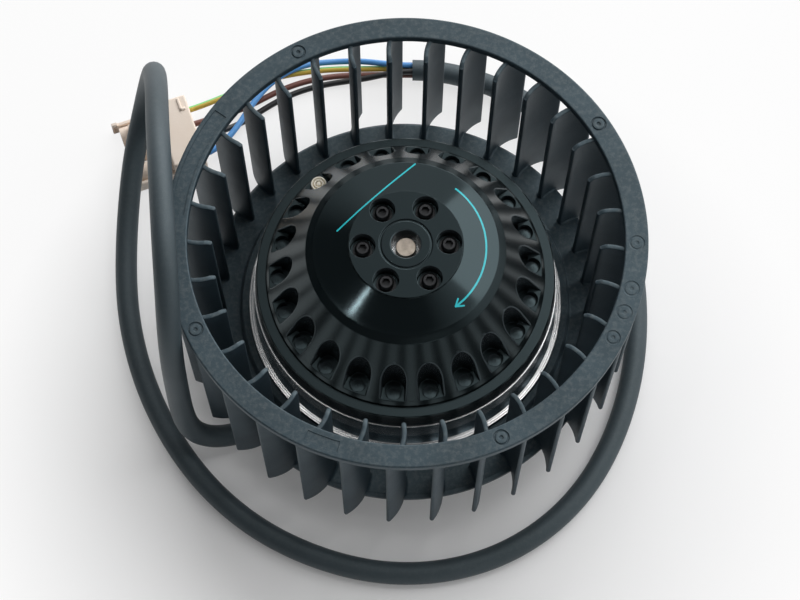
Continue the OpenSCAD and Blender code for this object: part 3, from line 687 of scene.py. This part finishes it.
def rotor_cover():
    """The cover: its cups and sloping side, the hub with screw pockets and bore, and its inside."""
    form = Form()
    sector, fan = cover_sector()
    form.copies(sector, CUPS, CUP_PHASE)
    hub_angles = even_angles(CUPS * 2 * COLUMNS, CUP_PHASE)
    hub_edge = COVER_SIDE[0][0]
    middle = rounded([
        (10, COVER_TOP), (7.95, COVER_TOP, 0.14), (7.85, COVER_TOP - 0.6, 0.14),
        (7.25, COVER_TOP - 0.6, 0.14), (7.15, COVER_TOP, 0.14), (6, COVER_TOP),
    ], steps=3)[1:-1]
    bore = rounded([(6, COVER_TOP), (BORE_RADIUS, COVER_TOP, 0.35), (BORE_RADIUS, BORE_FOOT)])[1:]
    form.lathe(middle, hub_angles)
    form.lathe(bore, hub_angles)
    form.fill([ring_of(middle[-1][0], hub_angles), ring_of(bore[0][0], hub_angles)], COVER_TOP,
              lambda x, y: math.hypot(x, y) > bore[0][0])
    pocket = rounded([
        (POCKET_RADIUS + 0.3, COVER_TOP), (POCKET_RADIUS, COVER_TOP, 0.1),
        (POCKET_RADIUS - 0.06, POCKET_FLOOR, 0.25), (0.1, POCKET_FLOOR),
    ])[1:]
    pockets = []
    for k in range(SCREWS):
        at = polar(SCREW_CIRCLE, SCREW_PHASE + k * TURN / SCREWS)
        spokes = even_angles(POCKET_SPOKES)
        form.pit(pocket, spokes, at)
        pockets.append((ring_of(pocket[0][0], spokes, at), at))
    form.fill([ring_of(hub_edge, hub_angles), ring_of(middle[0][0], hub_angles)] + [p[0] for p in pockets],
              COVER_TOP, lambda x, y: math.hypot(x, y) > middle[0][0]
              and all(math.hypot(x - at[0], y - at[1]) > pocket[0][0] for _, at in pockets))
    form.lathe([(r, z, 0.0) for r, z in COVER_INSIDE], hub_angles)
    rim_angles = sorted({round(CUP_PHASE + k * 2 * HALF_STEP + way * a, 7)
                         for k in range(CUPS) for way in (1, -1) for a in fan})
    rim_loop = [p for i, p in enumerate(ring_of(RIM_RADIUS, rim_angles))
                if i == 0 or rim_angles[i] - rim_angles[i - 1] > 1e-5]
    form.fill([rim_loop, ring_of(RIM_BORE, hub_angles)], STACK_TOP,
              lambda x, y: math.hypot(x, y) > RIM_BORE, flip=True)
    return form.piece("rotor_cover", sharp=50)


# Lamination stack and balance weight sizes, in millimetres
BAND_BORE = 34.4
BAND_FOOT = 16.0
BAND_WALL = 46.0
BAND_LIP = 46.4
BAND_SPOKES = 220
WEIGHT_CUP = 8
WEIGHT_RADIUS = 2.4
WEIGHT_HEIGHT = 4.2
WEIGHT_GROOVES = (1.7, 0.85)
GROOVE_DEPTH = 1.4
GROOVE_TOP_HALF = 0.22
GROOVE_LOW_HALF = 0.18
WEIGHT_SPOKES = 48
TINY_HOLE = 0.05


def rotor_band():
    """The bare lamination stack: a foot whose cut edge its finish paints bright as a highlight, the wall
    above it and a narrow lip.
    """
    form = Form()
    profile = rounded([
        (BAND_BORE, BAND_FOOT, 0.2), (BAND_RADIUS, BAND_FOOT, 0.2), (BAND_RADIUS, 21.7, 0.12),
        (47.2, 21.9, 0.1), (BAND_WALL, 26.0, 0.4), (BAND_WALL, 34.6, 0.2), (BAND_LIP, 35.1, 0.1),
        (BAND_LIP, STACK_TOP, 0.1), (BAND_BORE, STACK_TOP, 0.2),
    ], closed=True)
    form.lathe(profile, even_angles(BAND_SPOKES), closed=True)
    return form.piece("rotor_band")


def balance_roll():
    """The rolled balance weight that stands on one cup's peg."""
    at = polar(PEG_CIRCLE, CUP_PHASE + WEIGHT_CUP * TURN / CUPS)
    top = PEG_TOP + WEIGHT_HEIGHT
    low = top - GROOVE_DEPTH
    corners = [(TINY_HOLE, PEG_TOP), (WEIGHT_RADIUS, PEG_TOP, 0.15), (WEIGHT_RADIUS, top, 0.25)]
    for r in WEIGHT_GROOVES:
        corners += [
            (r + GROOVE_TOP_HALF, top, 0.1), (r + GROOVE_LOW_HALF, low, 0.06),
            (r - GROOVE_LOW_HALF, low, 0.06), (r - GROOVE_TOP_HALF, top, 0.1),
        ]
    form = Form()
    spokes = even_angles(WEIGHT_SPOKES)
    form.pit(rounded(corners + [(TINY_HOLE, top)], steps=3), spokes, at)
    form.fill([ring_of(TINY_HOLE, spokes, at)], PEG_TOP, flip=True)
    return form.piece("balance_roll")


# Plug boxes from low to high corner as depth, width and height, with the rounding of their edges
PLUG_BOXES = [
    ((0, 0, 0), (11, 24, 11), 0.7),
    ((10, 1.2, 0.3), (14.5, 22.8, 6.7), 0.4),
    ((10, 3.2, 7.1), (21, 6.4, 8.3), 0.3),
    ((10, 0, 0.3), (26, 1.2, 5.3), 0.3),
    ((24, 0, 0.3), (26, 1.2, 6.3), 0.3),
    ((10, 22.8, 0.3), (26, 24, 5.3), 0.3),
    ((24, 22.8, 0.3), (26, 24, 6.3), 0.3),
    ((2.3, 0.9, 10.5), (3.2, 5.6, 11.5), 0.25),
    ((1.2, 4.7, 10.5), (3.2, 5.6, 11.5), 0.25),
]
PLUG_BEVEL_STEPS = 3


def plug_shell():
    """The plug's housing: a block with a raised angle on top, its nose, a latch and two prongs."""
    form = Form()
    for low, high, bend in PLUG_BOXES:
        work = bmesh.new()
        bmesh.ops.create_cube(work, size=1)
        for corner in work.verts:
            corner.co = [low[i] + (high[i] - low[i]) * (corner.co[i] + 0.5) for i in range(3)]
        bmesh.ops.bevel(work, geom=work.edges[:], offset=bend, segments=PLUG_BEVEL_STEPS,
                        profile=0.5, affect="EDGES")
        work.verts.index_update()
        form.add([on_plug(*corner.co) for corner in work.verts],
                 [tuple(corner.index for corner in face.verts) for face in work.faces])
        work.free()
    return form.piece("plug_shell", weld=0.0001)


# Shader helpers
def open_group(name, makes, colours=(), numbers=(), points=()):
    """A shader group with named sockets: the group, what it is given and what it makes."""
    group = bpy.data.node_groups.new(name, "ShaderNodeTree")
    for kind, sockets in (("Color", colours), ("Float", numbers), ("Vector", points)):
        for socket in sockets:
            group.interface.new_socket(name=socket, in_out="INPUT", socket_type="NodeSocket" + kind)
    for socket in makes:
        kind = "Color" if socket == "Colour" else "Float"
        group.interface.new_socket(name=socket, in_out="OUTPUT", socket_type="NodeSocket" + kind)
    return group, group.nodes.new("NodeGroupInput").outputs, group.nodes.new("NodeGroupOutput").inputs


def lay(tree, sockets, values):
    """Links each of these inputs to another node's output, or sets it to a plain value."""
    for key, value in values.items():
        if isinstance(value, bpy.types.NodeSocket):
            tree.links.new(value, sockets[key])
        else:
            sockets[key].default_value = value


def node(tree, kind, links=None, **settings):
    """A shader node with its settings, and its inputs joined or set by name or number."""
    made = tree.nodes.new("ShaderNode" + kind)
    for key, value in settings.items():
        setattr(made, key, value)
    lay(tree, made.inputs, links or {})
    return made


def object_place(tree):
    return node(tree, "TexCoord").outputs["Object"]


def split(tree, value):
    return node(tree, "SeparateXYZ", {0: value}).outputs


def upward(tree):
    """How far a face looks up."""
    return split(tree, node(tree, "NewGeometry").outputs["Normal"])["Z"]


def plan_place(tree):
    """The axes of a point on the piece, and the point laid flat on the plan."""
    axes = split(tree, object_place(tree))
    return axes, node(tree, "CombineXYZ", {0: axes["X"], 1: axes["Y"]}).outputs[0]


def noise(tree, place, scale, detail=3.0, rough=0.55):
    links = {"Vector": place, "Scale": scale, "Detail": detail, "Roughness": rough}
    return node(tree, "TexNoise", links).outputs["Fac"]


def ramp(tree, value, low, high, to_low=0.0, to_high=1.0):
    return node(tree, "MapRange", {"Value": value, "From Min": low, "From Max": high,
                                   "To Min": to_low, "To Max": to_high}).outputs[0]


def blend_colour(tree, mask, first, second):
    mix = node(tree, "Mix", {"Factor": mask}, data_type="RGBA")
    lay(tree, [s for s in mix.inputs if s.type == "RGBA"], {0: first, 1: second})
    return [s for s in mix.outputs if s.type == "RGBA"][0]


def vectors(tree, way, first, second=(0, 0, 0)):
    return node(tree, "VectorMath", {0: first, 1: second}, operation=way).outputs


def maths(tree, way, first, second=0.0):
    return node(tree, "Math", {0: first, 1: second}, operation=way).outputs[0]


def lay_over(group, given, made, mask, second):
    """Ends a group that lays a second colour over the first by a mask."""
    lay(group, made, {"Colour": blend_colour(group, mask, given["Colour"], given[second])})
    return group


# Shader groups that the finishes share; print lies only above a height, in metres
PRINT_FLOOR = 0.06
HIGHLIGHT_PATCH_SIZE = 220.0
DUST_SIZE = 700.0
SMEAR_SIZE = 90.0
SMEAR = 0.08
SIDE_METAL = 0.9
FACE_METAL = 0.75


def moulded_skin_group():
    """Cloudy colour, uneven gloss and a fine grain, as a moulded or rubber skin has."""
    group, given, made = open_group(
        "moulded_skin", ["Colour", "Roughness", "Height"], ["Colour", "Cloud colour"],
        ["Cloud size", "Grain size", "Roughness", "Gloss spread"])
    place = object_place(group)
    cloud = noise(group, place, given["Cloud size"], 4.0)
    grain = noise(group, place, given["Grain size"], 2.0)
    colour = blend_colour(group, ramp(group, cloud, 0.35, 0.7), given["Colour"],
                          given["Cloud colour"])
    swing = maths(group, "MULTIPLY", maths(group, "SUBTRACT", cloud, 0.5), given["Gloss spread"])
    speck = maths(group, "MULTIPLY", maths(group, "SUBTRACT", grain, 0.5), given["Gloss spread"])
    rough = maths(group, "ADD", given["Roughness"], maths(group, "ADD", swing, speck))
    lay(group, made, {"Colour": colour, "Roughness": rough, "Height": grain})
    return group


def edge_highlight_group():
    """Paler rounded edges, from the edge value that each mesh carries: a painted highlight along them."""
    group, given, made = open_group("painted_edge_highlight", ["Colour"], ["Colour", "Edge colour"], ["Amount"])
    place = object_place(group)
    # The edge value marks rounded edges, which this group paints paler as a highlight
    edge = node(group, "Attribute", attribute_name="edge").outputs["Fac"]
    patchy = ramp(group, noise(group, place, HIGHLIGHT_PATCH_SIZE), 0.35, 0.65, 0.8, 1.0)
    mask = maths(group, "MULTIPLY", maths(group, "MULTIPLY", edge, patchy), given["Amount"])
    return lay_over(group, given, made, mask, "Edge colour")


def shelf_dust_group():
    """Thin pale dust on faces that look up."""
    group, given, made = open_group("shelf_dust", ["Colour"], ["Colour", "Dust colour"], ["Amount"])
    place = object_place(group)
    fleck = ramp(group, noise(group, place, DUST_SIZE, 5.0, 0.7), 0.45, 0.75)
    mask = maths(group, "MULTIPLY", ramp(group, upward(group), 0.3, 1.0), fleck)
    mask = maths(group, "MULTIPLY", mask, given["Amount"])
    return lay_over(group, given, made, mask, "Dust colour")


def sheet_lines_and_painted_light_group():
    """Edges of stacked sheets: a line at every sheet up the side, and turned rings on faces that look up;
    those faces are painted near white as a highlight, and the side darker, partly as painted shade.
    """
    group, given, made = open_group(
        "sheet_lines_and_painted_light", ["Colour", "Roughness", "Metallic", "Height"],
        ["Colour", "Line colour", "Face colour", "Ring colour"], ["Sheet", "Roughness"])
    place = object_place(group)
    axes, flat = plan_place(group)

    def stripes(value):
        """A line at every whole step of a value."""
        step = maths(group, "FRACT", value)
        return ramp(group, maths(group, "ABSOLUTE", maths(group, "SUBTRACT", step, 0.5)), 0.3, 0.5)

    line = stripes(maths(group, "DIVIDE", axes["Z"], given["Sheet"]))
    far = vectors(group, "LENGTH", flat)["Value"]
    rings = stripes(maths(group, "DIVIDE", far, given["Sheet"]))
    # Faces that look up take the near-white face colour, a painted highlight; the side keeps a darker colour,
    # partly painted shade
    face = ramp(group, upward(group), 0.5, 0.9)
    smear = noise(group, place, SMEAR_SIZE, 4.0)
    flank = blend_colour(group, line, given["Colour"], given["Line colour"])
    top = blend_colour(group, rings, given["Face colour"], given["Ring colour"])
    swing = maths(group, "MULTIPLY", maths(group, "SUBTRACT", smear, 0.5), SMEAR)
    groove = node(group, "Mix", {0: face, 2: line, 3: rings}).outputs[0]
    lay(group, made, {
        "Colour": blend_colour(group, face, flank, top),
        "Roughness": maths(group, "ADD", given["Roughness"], swing),
        "Metallic": ramp(group, face, 0.0, 1.0, SIDE_METAL, FACE_METAL),
        "Height": maths(group, "SUBTRACT", 1.0, groove),
    })
    return group


def printed_arc_group():
    """Ink along an arc about the Z axis, from one angle on through a sweep."""
    group, given, made = open_group(
        "printed_arc", ["Colour"], ["Colour", "Ink"], ["Radius", "Half width", "First angle", "Sweep"])
    axes, flat = plan_place(group)
    far = vectors(group, "LENGTH", flat)["Value"]
    off = maths(group, "ABSOLUTE", maths(group, "SUBTRACT", far, given["Radius"]))
    turn = maths(group, "SUBTRACT", maths(group, "ARCTAN2", axes["Y"], axes["X"]), given["First angle"])
    turn = maths(group, "FLOORED_MODULO", turn, TURN)
    mask = maths(group, "MULTIPLY", maths(group, "LESS_THAN", off, given["Half width"]),
                 maths(group, "LESS_THAN", turn, given["Sweep"]))
    mask = maths(group, "MULTIPLY", mask, maths(group, "GREATER_THAN", axes["Z"], PRINT_FLOOR))
    return lay_over(group, given, made, mask, "Ink")


def printed_line_group():
    """Ink along a straight line between two points of the plan."""
    group, given, made = open_group(
        "printed_line", ["Colour"], ["Colour", "Ink"], ["Half width"], ["Start", "End"])
    axes, flat = plan_place(group)
    along = vectors(group, "SUBTRACT", given["End"], given["Start"])["Vector"]
    gone = vectors(group, "SUBTRACT", flat, given["Start"])["Vector"]
    part_way = maths(group, "DIVIDE", vectors(group, "DOT_PRODUCT", gone, along)["Value"],
                     vectors(group, "DOT_PRODUCT", along, along)["Value"])
    part_way = node(group, "Clamp", {0: part_way}).outputs[0]
    near = node(group, "VectorMath", {0: along, "Scale": part_way}, operation="SCALE").outputs["Vector"]
    off = vectors(group, "DISTANCE", gone, near)["Value"]
    mask = maths(group, "MULTIPLY", maths(group, "LESS_THAN", off, given["Half width"]),
                 maths(group, "GREATER_THAN", axes["Z"], PRINT_FLOOR))
    return lay_over(group, given, made, mask, "Ink")


MOULDED_SKIN = moulded_skin_group()
EDGE_HIGHLIGHT = edge_highlight_group()
SHELF_DUST = shelf_dust_group()
SHEET_LINES_AND_PAINTED_LIGHT = sheet_lines_and_painted_light_group()
PRINTED_ARC = printed_arc_group()
PRINTED_LINE = printed_line_group()


def tone(red, green, blue):
    """A colour read as 8-bit values, for a shader."""
    def linear(c):
        c /= 255
        return c / 12.92 if c <= 0.04045 else ((c + 0.055) / 1.055) ** 2.4
    return (linear(red), linear(green), linear(blue), 1.0)


def place_group(tree, group, **values):
    """Places a group in a material with its own values, and returns what it makes."""
    made = tree.nodes.new("ShaderNodeGroup")
    made.node_tree = group
    lay(tree, made.inputs, {key.replace("_", " "): value for key, value in values.items()})
    return made.outputs


DUST = tone(150, 150, 146)
SHEET_RELIEF = 0.2
SHEET_REACH = 0.0001


def open_material(name):
    """A new material: itself, its nodes and its shader's inputs."""
    material = bpy.data.materials.new(name)
    material.use_nodes = True
    return material, material.node_tree, material.node_tree.nodes["Principled BSDF"].inputs


def bump(tree, strength, reach, height):
    return node(tree, "Bump", {"Strength": strength, "Distance": reach, "Height": height}).outputs["Normal"]


def feeding(socket):
    """The output that is linked to an input."""
    return socket.links[0].from_socket


def finish_of(name, colour, cloud, rough, spread, relief, cloud_size=60.0, grain_size=2500.0,
              edge=None, highlight_amount=0.0, dust=0.0, metal=0.0, relief_reach=0.0002, **constants):
    """A moulded, rubber or cast finish: cloudy skin, a painted highlight on rounded edges and a little dust.
    """
    material, tree, shader = open_material(name)
    skin = place_group(tree, MOULDED_SKIN, Colour=colour, Cloud_colour=cloud, Cloud_size=cloud_size,
                       Grain_size=grain_size, Roughness=rough, Gloss_spread=spread)
    shown = skin["Colour"]
    # A paler colour on rounded edges: a painted highlight
    if edge:
        shown = place_group(tree, EDGE_HIGHLIGHT, Colour=shown, Edge_colour=edge, Amount=highlight_amount)["Colour"]
    if dust:
        shown = place_group(tree, SHELF_DUST, Colour=shown, Dust_colour=DUST, Amount=dust)["Colour"]
    lay(tree, shader, {
        "Base Color": shown, "Roughness": skin["Roughness"], "Metallic": metal,
        "Normal": bump(tree, relief, relief_reach, skin["Height"]),
    })
    lay(tree, shader, {key.replace("_", " "): value for key, value in constants.items()})
    return material


def band_steel(name, colour, line, face, ring, rough, sheet):
    """Stacked steel sheets: a dark side with a line at every sheet, the dark partly painted shade, and a cut
    face painted bright as a highlight.
    """
    material, tree, shader = open_material(name)
    lines = place_group(tree, SHEET_LINES_AND_PAINTED_LIGHT, Colour=colour, Line_colour=line, Face_colour=face,
                        Ring_colour=ring, Sheet=sheet, Roughness=rough)
    lay(tree, shader, {
        "Base Color": lines["Colour"], "Roughness": lines["Roughness"], "Metallic": lines["Metallic"],
        "Normal": bump(tree, SHEET_RELIEF, SHEET_REACH, lines["Height"]),
    })
    return material


# Print on the cover, in metres
ARROW_RADIUS = 0.0236
ARROW_END = math.radians(-52)
ARROW_SWEEP = math.radians(104)
ARROW_HALF = 0.00028
BARB_LENGTH = 0.0021
BARB_SPREAD = 0.0013
PRINT_LINE = ((-0.0202, 0.0045, 0), (0.0026, 0.0268, 0))
LINE_HALF = 0.00024
INK = tone(46, 190, 200)

# Height at which the cover's flat ends and its rougher slope begins, in metres
FLAT_END = 0.0653
SLOPE_START = 0.0644
SLOPE_ROUGHER = 0.15


def arrow_barb(way):
    """End of one barb of the printed arrow, which points clockwise along its arc."""
    return (*polar(ARROW_RADIUS + way * BARB_SPREAD, ARROW_END + BARB_LENGTH / ARROW_RADIUS), 0)


def cover_gloss(name):
    """Glossy black moulding with a painted highlight on its rounded edges, a printed line and an arrow for
    the way the rotor turns.
    """
    # The pale edge colour here is a painted highlight on the cups' rims and other rounded edges
    material = finish_of(name, tone(6, 10, 12), tone(4, 8, 10), 0.1, 0.05, 0.03, cloud_size=30.0,
                         grain_size=140.0, edge=tone(98, 108, 114), highlight_amount=0.32,
                         relief_reach=0.0003, Specular_IOR_Level=0.5, Specular_Tint=(0.68, 0.93, 1.0, 1))
    tree = material.node_tree
    shader = tree.nodes["Principled BSDF"].inputs
    tip = (*polar(ARROW_RADIUS, ARROW_END), 0)
    shown = place_group(tree, PRINTED_ARC, Colour=feeding(shader["Base Color"]), Ink=INK, Radius=ARROW_RADIUS,
                        Half_width=ARROW_HALF, First_angle=ARROW_END, Sweep=ARROW_SWEEP)["Colour"]
    for start, stop in ((tip, arrow_barb(1)), (tip, arrow_barb(-1)), PRINT_LINE):
        shown = place_group(tree, PRINTED_LINE, Colour=shown, Ink=INK, Start=start, End=stop,
                            Half_width=LINE_HALF)["Colour"]
    height = split(tree, object_place(tree))["Z"]
    slope = ramp(tree, height, FLAT_END, SLOPE_START, 0.0, SLOPE_ROUGHER)
    rough = maths(tree, "ADD", feeding(shader["Roughness"]), slope)
    lay(tree, shader, {"Base Color": shown, "Roughness": rough})
    return material


STRIPE_WAY = (-0.34, 0.84, 0.42)
STRIPE_GREEN = tone(128, 214, 128)


def striped_wire(name):
    """Earth wire: yellow, with a green stripe along one side."""
    material = finish_of(name, tone(216, 188, 84), tone(204, 174, 72), 0.42, 0.1, 0.15)
    tree = material.node_tree
    shader = tree.nodes["Principled BSDF"].inputs
    normal = node(tree, "NewGeometry").outputs["Normal"]
    stripe = ramp(tree, vectors(tree, "DOT_PRODUCT", normal, STRIPE_WAY)["Value"], 0.5, 0.56)
    lay(tree, shader, {"Base Color": blend_colour(tree, stripe, feeding(shader["Base Color"]), STRIPE_GREEN)})
    return material


# Finishes, by the slot that the record gives each node
FINISHES = {
    # The wheel's pale edge colour is a painted highlight on its rounded edges
    "wheel_plastic": finish_of("wheel_plastic", tone(42, 56, 65), tone(33, 45, 53), 0.54, 0.16, 0.2,
                               edge=tone(62, 75, 82), highlight_amount=0.12, dust=0.2,
                               Specular_IOR_Level=0.7, Specular_Tint=(0.74, 0.93, 1.0, 1)),
    "bell_gloss": cover_gloss("cover_gloss"),
    # The stack's near-white face colour is a painted highlight; its darker side colour is partly painted
    # shade
    "lamination": band_steel("band_steel", tone(100, 118, 127), tone(86, 102, 110), tone(254, 254, 254),
                             tone(226, 228, 230), 0.24, 0.0007),
    "cast_alloy": finish_of("cast_alloy", tone(165, 167, 170), tone(140, 142, 146), 0.45, 0.2, 0.4,
                            metal=0.9, grain_size=900.0),
    "copper": finish_of("winding_copper", tone(190, 110, 60), tone(150, 80, 45), 0.35, 0.2, 0.6,
                        metal=0.9, grain_size=1200.0),
    "insulator": finish_of("insulator_film", tone(222, 216, 198), tone(205, 198, 180), 0.5, 0.1, 0.2),
    "bearing_steel": finish_of("shaft_steel", tone(168, 158, 146), tone(130, 122, 114), 0.38, 0.2, 0.2,
                               metal=1.0, cloud_size=400.0),
    "spring_steel": finish_of("spring_steel", tone(90, 92, 96), tone(70, 72, 76), 0.4, 0.15, 0.2, metal=1.0),
    "screw_black": finish_of("screw_black", tone(46, 47, 49), tone(30, 31, 33), 0.34, 0.2, 0.3,
                             metal=0.7, cloud_size=500.0),
    "weight": finish_of("weight_clip", tone(250, 245, 232), tone(240, 233, 216), 0.5, 0.1, 0.2,
                        cloud_size=300.0),
    "gland_rubber": finish_of("gland_rubber", tone(34, 35, 37), tone(27, 28, 30), 0.6, 0.1, 0.3),
    "sheath": finish_of("lead_rubber", tone(62, 72, 78), tone(54, 64, 69), 0.54, 0.12, 0.3, dust=0.06,
                        cloud_size=35.0, Specular_IOR_Level=0.55, Specular_Tint=(0.85, 0.97, 1.0, 1)),
    "wire_blue": finish_of("wire_blue", tone(92, 158, 222), tone(80, 144, 210), 0.42, 0.1, 0.15),
    "wire_brown": finish_of("wire_brown", tone(122, 78, 70), tone(108, 68, 60), 0.42, 0.1, 0.15),
    "wire_earth": striped_wire("wire_earth"),
    "wire_black": finish_of("wire_black", tone(30, 31, 33), tone(24, 25, 27), 0.42, 0.1, 0.15),
    "plug_plastic": finish_of("plug_plastic", tone(250, 236, 222), tone(244, 227, 211), 0.45, 0.12, 0.2),
    "sleeve_plastic": finish_of("sleeve_plastic", tone(246, 229, 213), tone(238, 219, 202), 0.45, 0.12, 0.2),
    "pin_brass": finish_of("pin_brass", tone(200, 168, 96), tone(170, 140, 80), 0.3, 0.15, 0.1, metal=1.0),
}

for part in frame["record"]["subparts"]:
    bare = frame["nodes"][part["node"]]
    for k in range(max(1, len(bare.material_slots))):
        if not bare.material_slots:
            bare.data.materials.append(FINISHES[part["material_slot"]])
        bare.material_slots[k].material = FINISHES[part["material_slot"]]


def seat(made, body, slot, cad_node):
    """Gives a piece the finish for a slot, puts it on its body and hides the plain solid that it stands for.
    """
    made.data.materials.clear()
    made.data.materials.append(FINISHES[slot])
    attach(made, body)
    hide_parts(cad_node)


# Wheel, rotor and plug pieces in place of their plain solids
seat(wheel_ring(), "rotor", "wheel_plastic", "impeller_ring")
seat(wheel_blades(), "rotor", "wheel_plastic", "impeller_blades")
seat(wheel_dish(), "rotor", "wheel_plastic", "impeller_dish")
seat(rotor_cover(), "rotor", "bell_gloss", "rotor_bell")
seat(rotor_band(), "rotor", "lamination", "rotor_core")
seat(balance_roll(), "rotor", "weight", "balance_weight")
seat(plug_shell(), "stator", "plug_plastic", "plug_housing")

# Floor and light: lamps are listed as name, place, aim, width, height and power
FLOOR_HALF = 4.0
# The floor's white glow grows with distance from this point, set in front of the part, so the floor is
# painted whiter behind the part than in front: painted light
FLOOR_MIDDLE = (0, -0.035, 0)
FLOOR_CLOUDS = 14.0
FLOOR_FADE = (0.07, 0.135)
FLOOR_GLOW = (0.08, 0.85)
ROOM_LEAN = (0.05, 0.48)
ROOM_LIGHT = (0.11, 1.0)
PART_MIDDLE = (0, 0, 0.03)
LAMPS = [
    ("back_box", (0.6, 1.65, 0.78), PART_MIDDLE, 2.2, 0.6, 17),
    ("right_box", (0.75, 0.65, 1.5), PART_MIDDLE, 1.2, 0.9, 7.5),
    ("front_box", (0.5, -1.3, 0.75), PART_MIDDLE, 0.8, 0.5, 1.8),
    ("strip_lamp", (0, 0.155, 1.42), PART_MIDDLE, 0.95, 0.1, 1.0),
    ("top_lamp", (-0.4, -0.037, 1.31), (-0.015, -0.019, 0.066), 0.03, 0.03, 0.14),
]


def floor_sheet():
    """A pale floor that turns white away from the part and keeps the part's shadow."""
    mesh = bpy.data.meshes.new("floor")
    corners = [(x * FLOOR_HALF, y * FLOOR_HALF, 0) for x, y in ((-1, -1), (1, -1), (1, 1), (-1, 1))]
    mesh.from_pydata(corners, [], [(0, 1, 2, 3)])
    floor = bpy.data.objects.new("floor", mesh)
    scene.collection.objects.link(floor)
    material, tree, shader = open_material("floor_white")
    place = object_place(tree)
    cloud = ramp(tree, noise(tree, place, FLOOR_CLOUDS, 4.0), 0.3, 0.7)
    lay(tree, shader, {
        "Base Color": blend_colour(tree, cloud, tone(251, 251, 251), tone(247, 247, 248)),
        "Roughness": 0.6, "Specular IOR Level": 0.2,
    })
    ray = node(tree, "LightPath").outputs
    seen = maths(tree, "MAXIMUM", ray["Is Camera Ray"], ray["Is Glossy Ray"])
    seen = maths(tree, "MAXIMUM", seen, ray["Is Transmission Ray"])
    far = vectors(tree, "DISTANCE", place, FLOOR_MIDDLE)["Value"]
    white = maths(tree, "MULTIPLY", seen, ramp(tree, far, *FLOOR_FADE, *FLOOR_GLOW))
    glow = node(tree, "Emission", {"Color": (1, 1, 1, 1), "Strength": 1.0}).outputs[0]
    mix = node(tree, "MixShader", {0: white, 1: tree.nodes["Principled BSDF"].outputs[0], 2: glow})
    lay(tree, tree.nodes["Material Output"].inputs, {"Surface": mix.outputs[0]})
    mesh.materials.append(material)


def soft_box(name, at, aim, width, height, power):
    data = bpy.data.lights.new(name, "AREA")
    data.shape = "RECTANGLE"
    data.size, data.size_y = width, height
    data.energy = power
    lamp = bpy.data.objects.new(name, data)
    lamp.location = at
    lamp.rotation_euler = (Vector(aim) - Vector(at)).to_track_quat("-Z", "Y").to_euler()
    scene.collection.objects.link(lamp)


def white_room():
    """A room that is brighter behind and to the right than in front."""
    world = bpy.data.worlds.new("room")
    world.use_nodes = True
    scene.world = world
    tree = world.node_tree
    way = split(tree, node(tree, "TexCoord").outputs["Generated"])
    lean = maths(tree, "ADD", way["Y"], way["X"])
    light = ramp(tree, lean, *ROOM_LEAN, *ROOM_LIGHT)
    lay(tree, tree.nodes["Background"].inputs, {"Color": light, "Strength": 1.0})


floor_sheet()
white_room()
for lamp_values in LAMPS:
    soft_box(*lamp_values)

# Lead and wires in place of their plain solids
seat(lead, "stator", "sheath", "lead_sheath")
for wire_node, wire in wires.items():
    seat(wire, "stator", wire_node, wire_node)
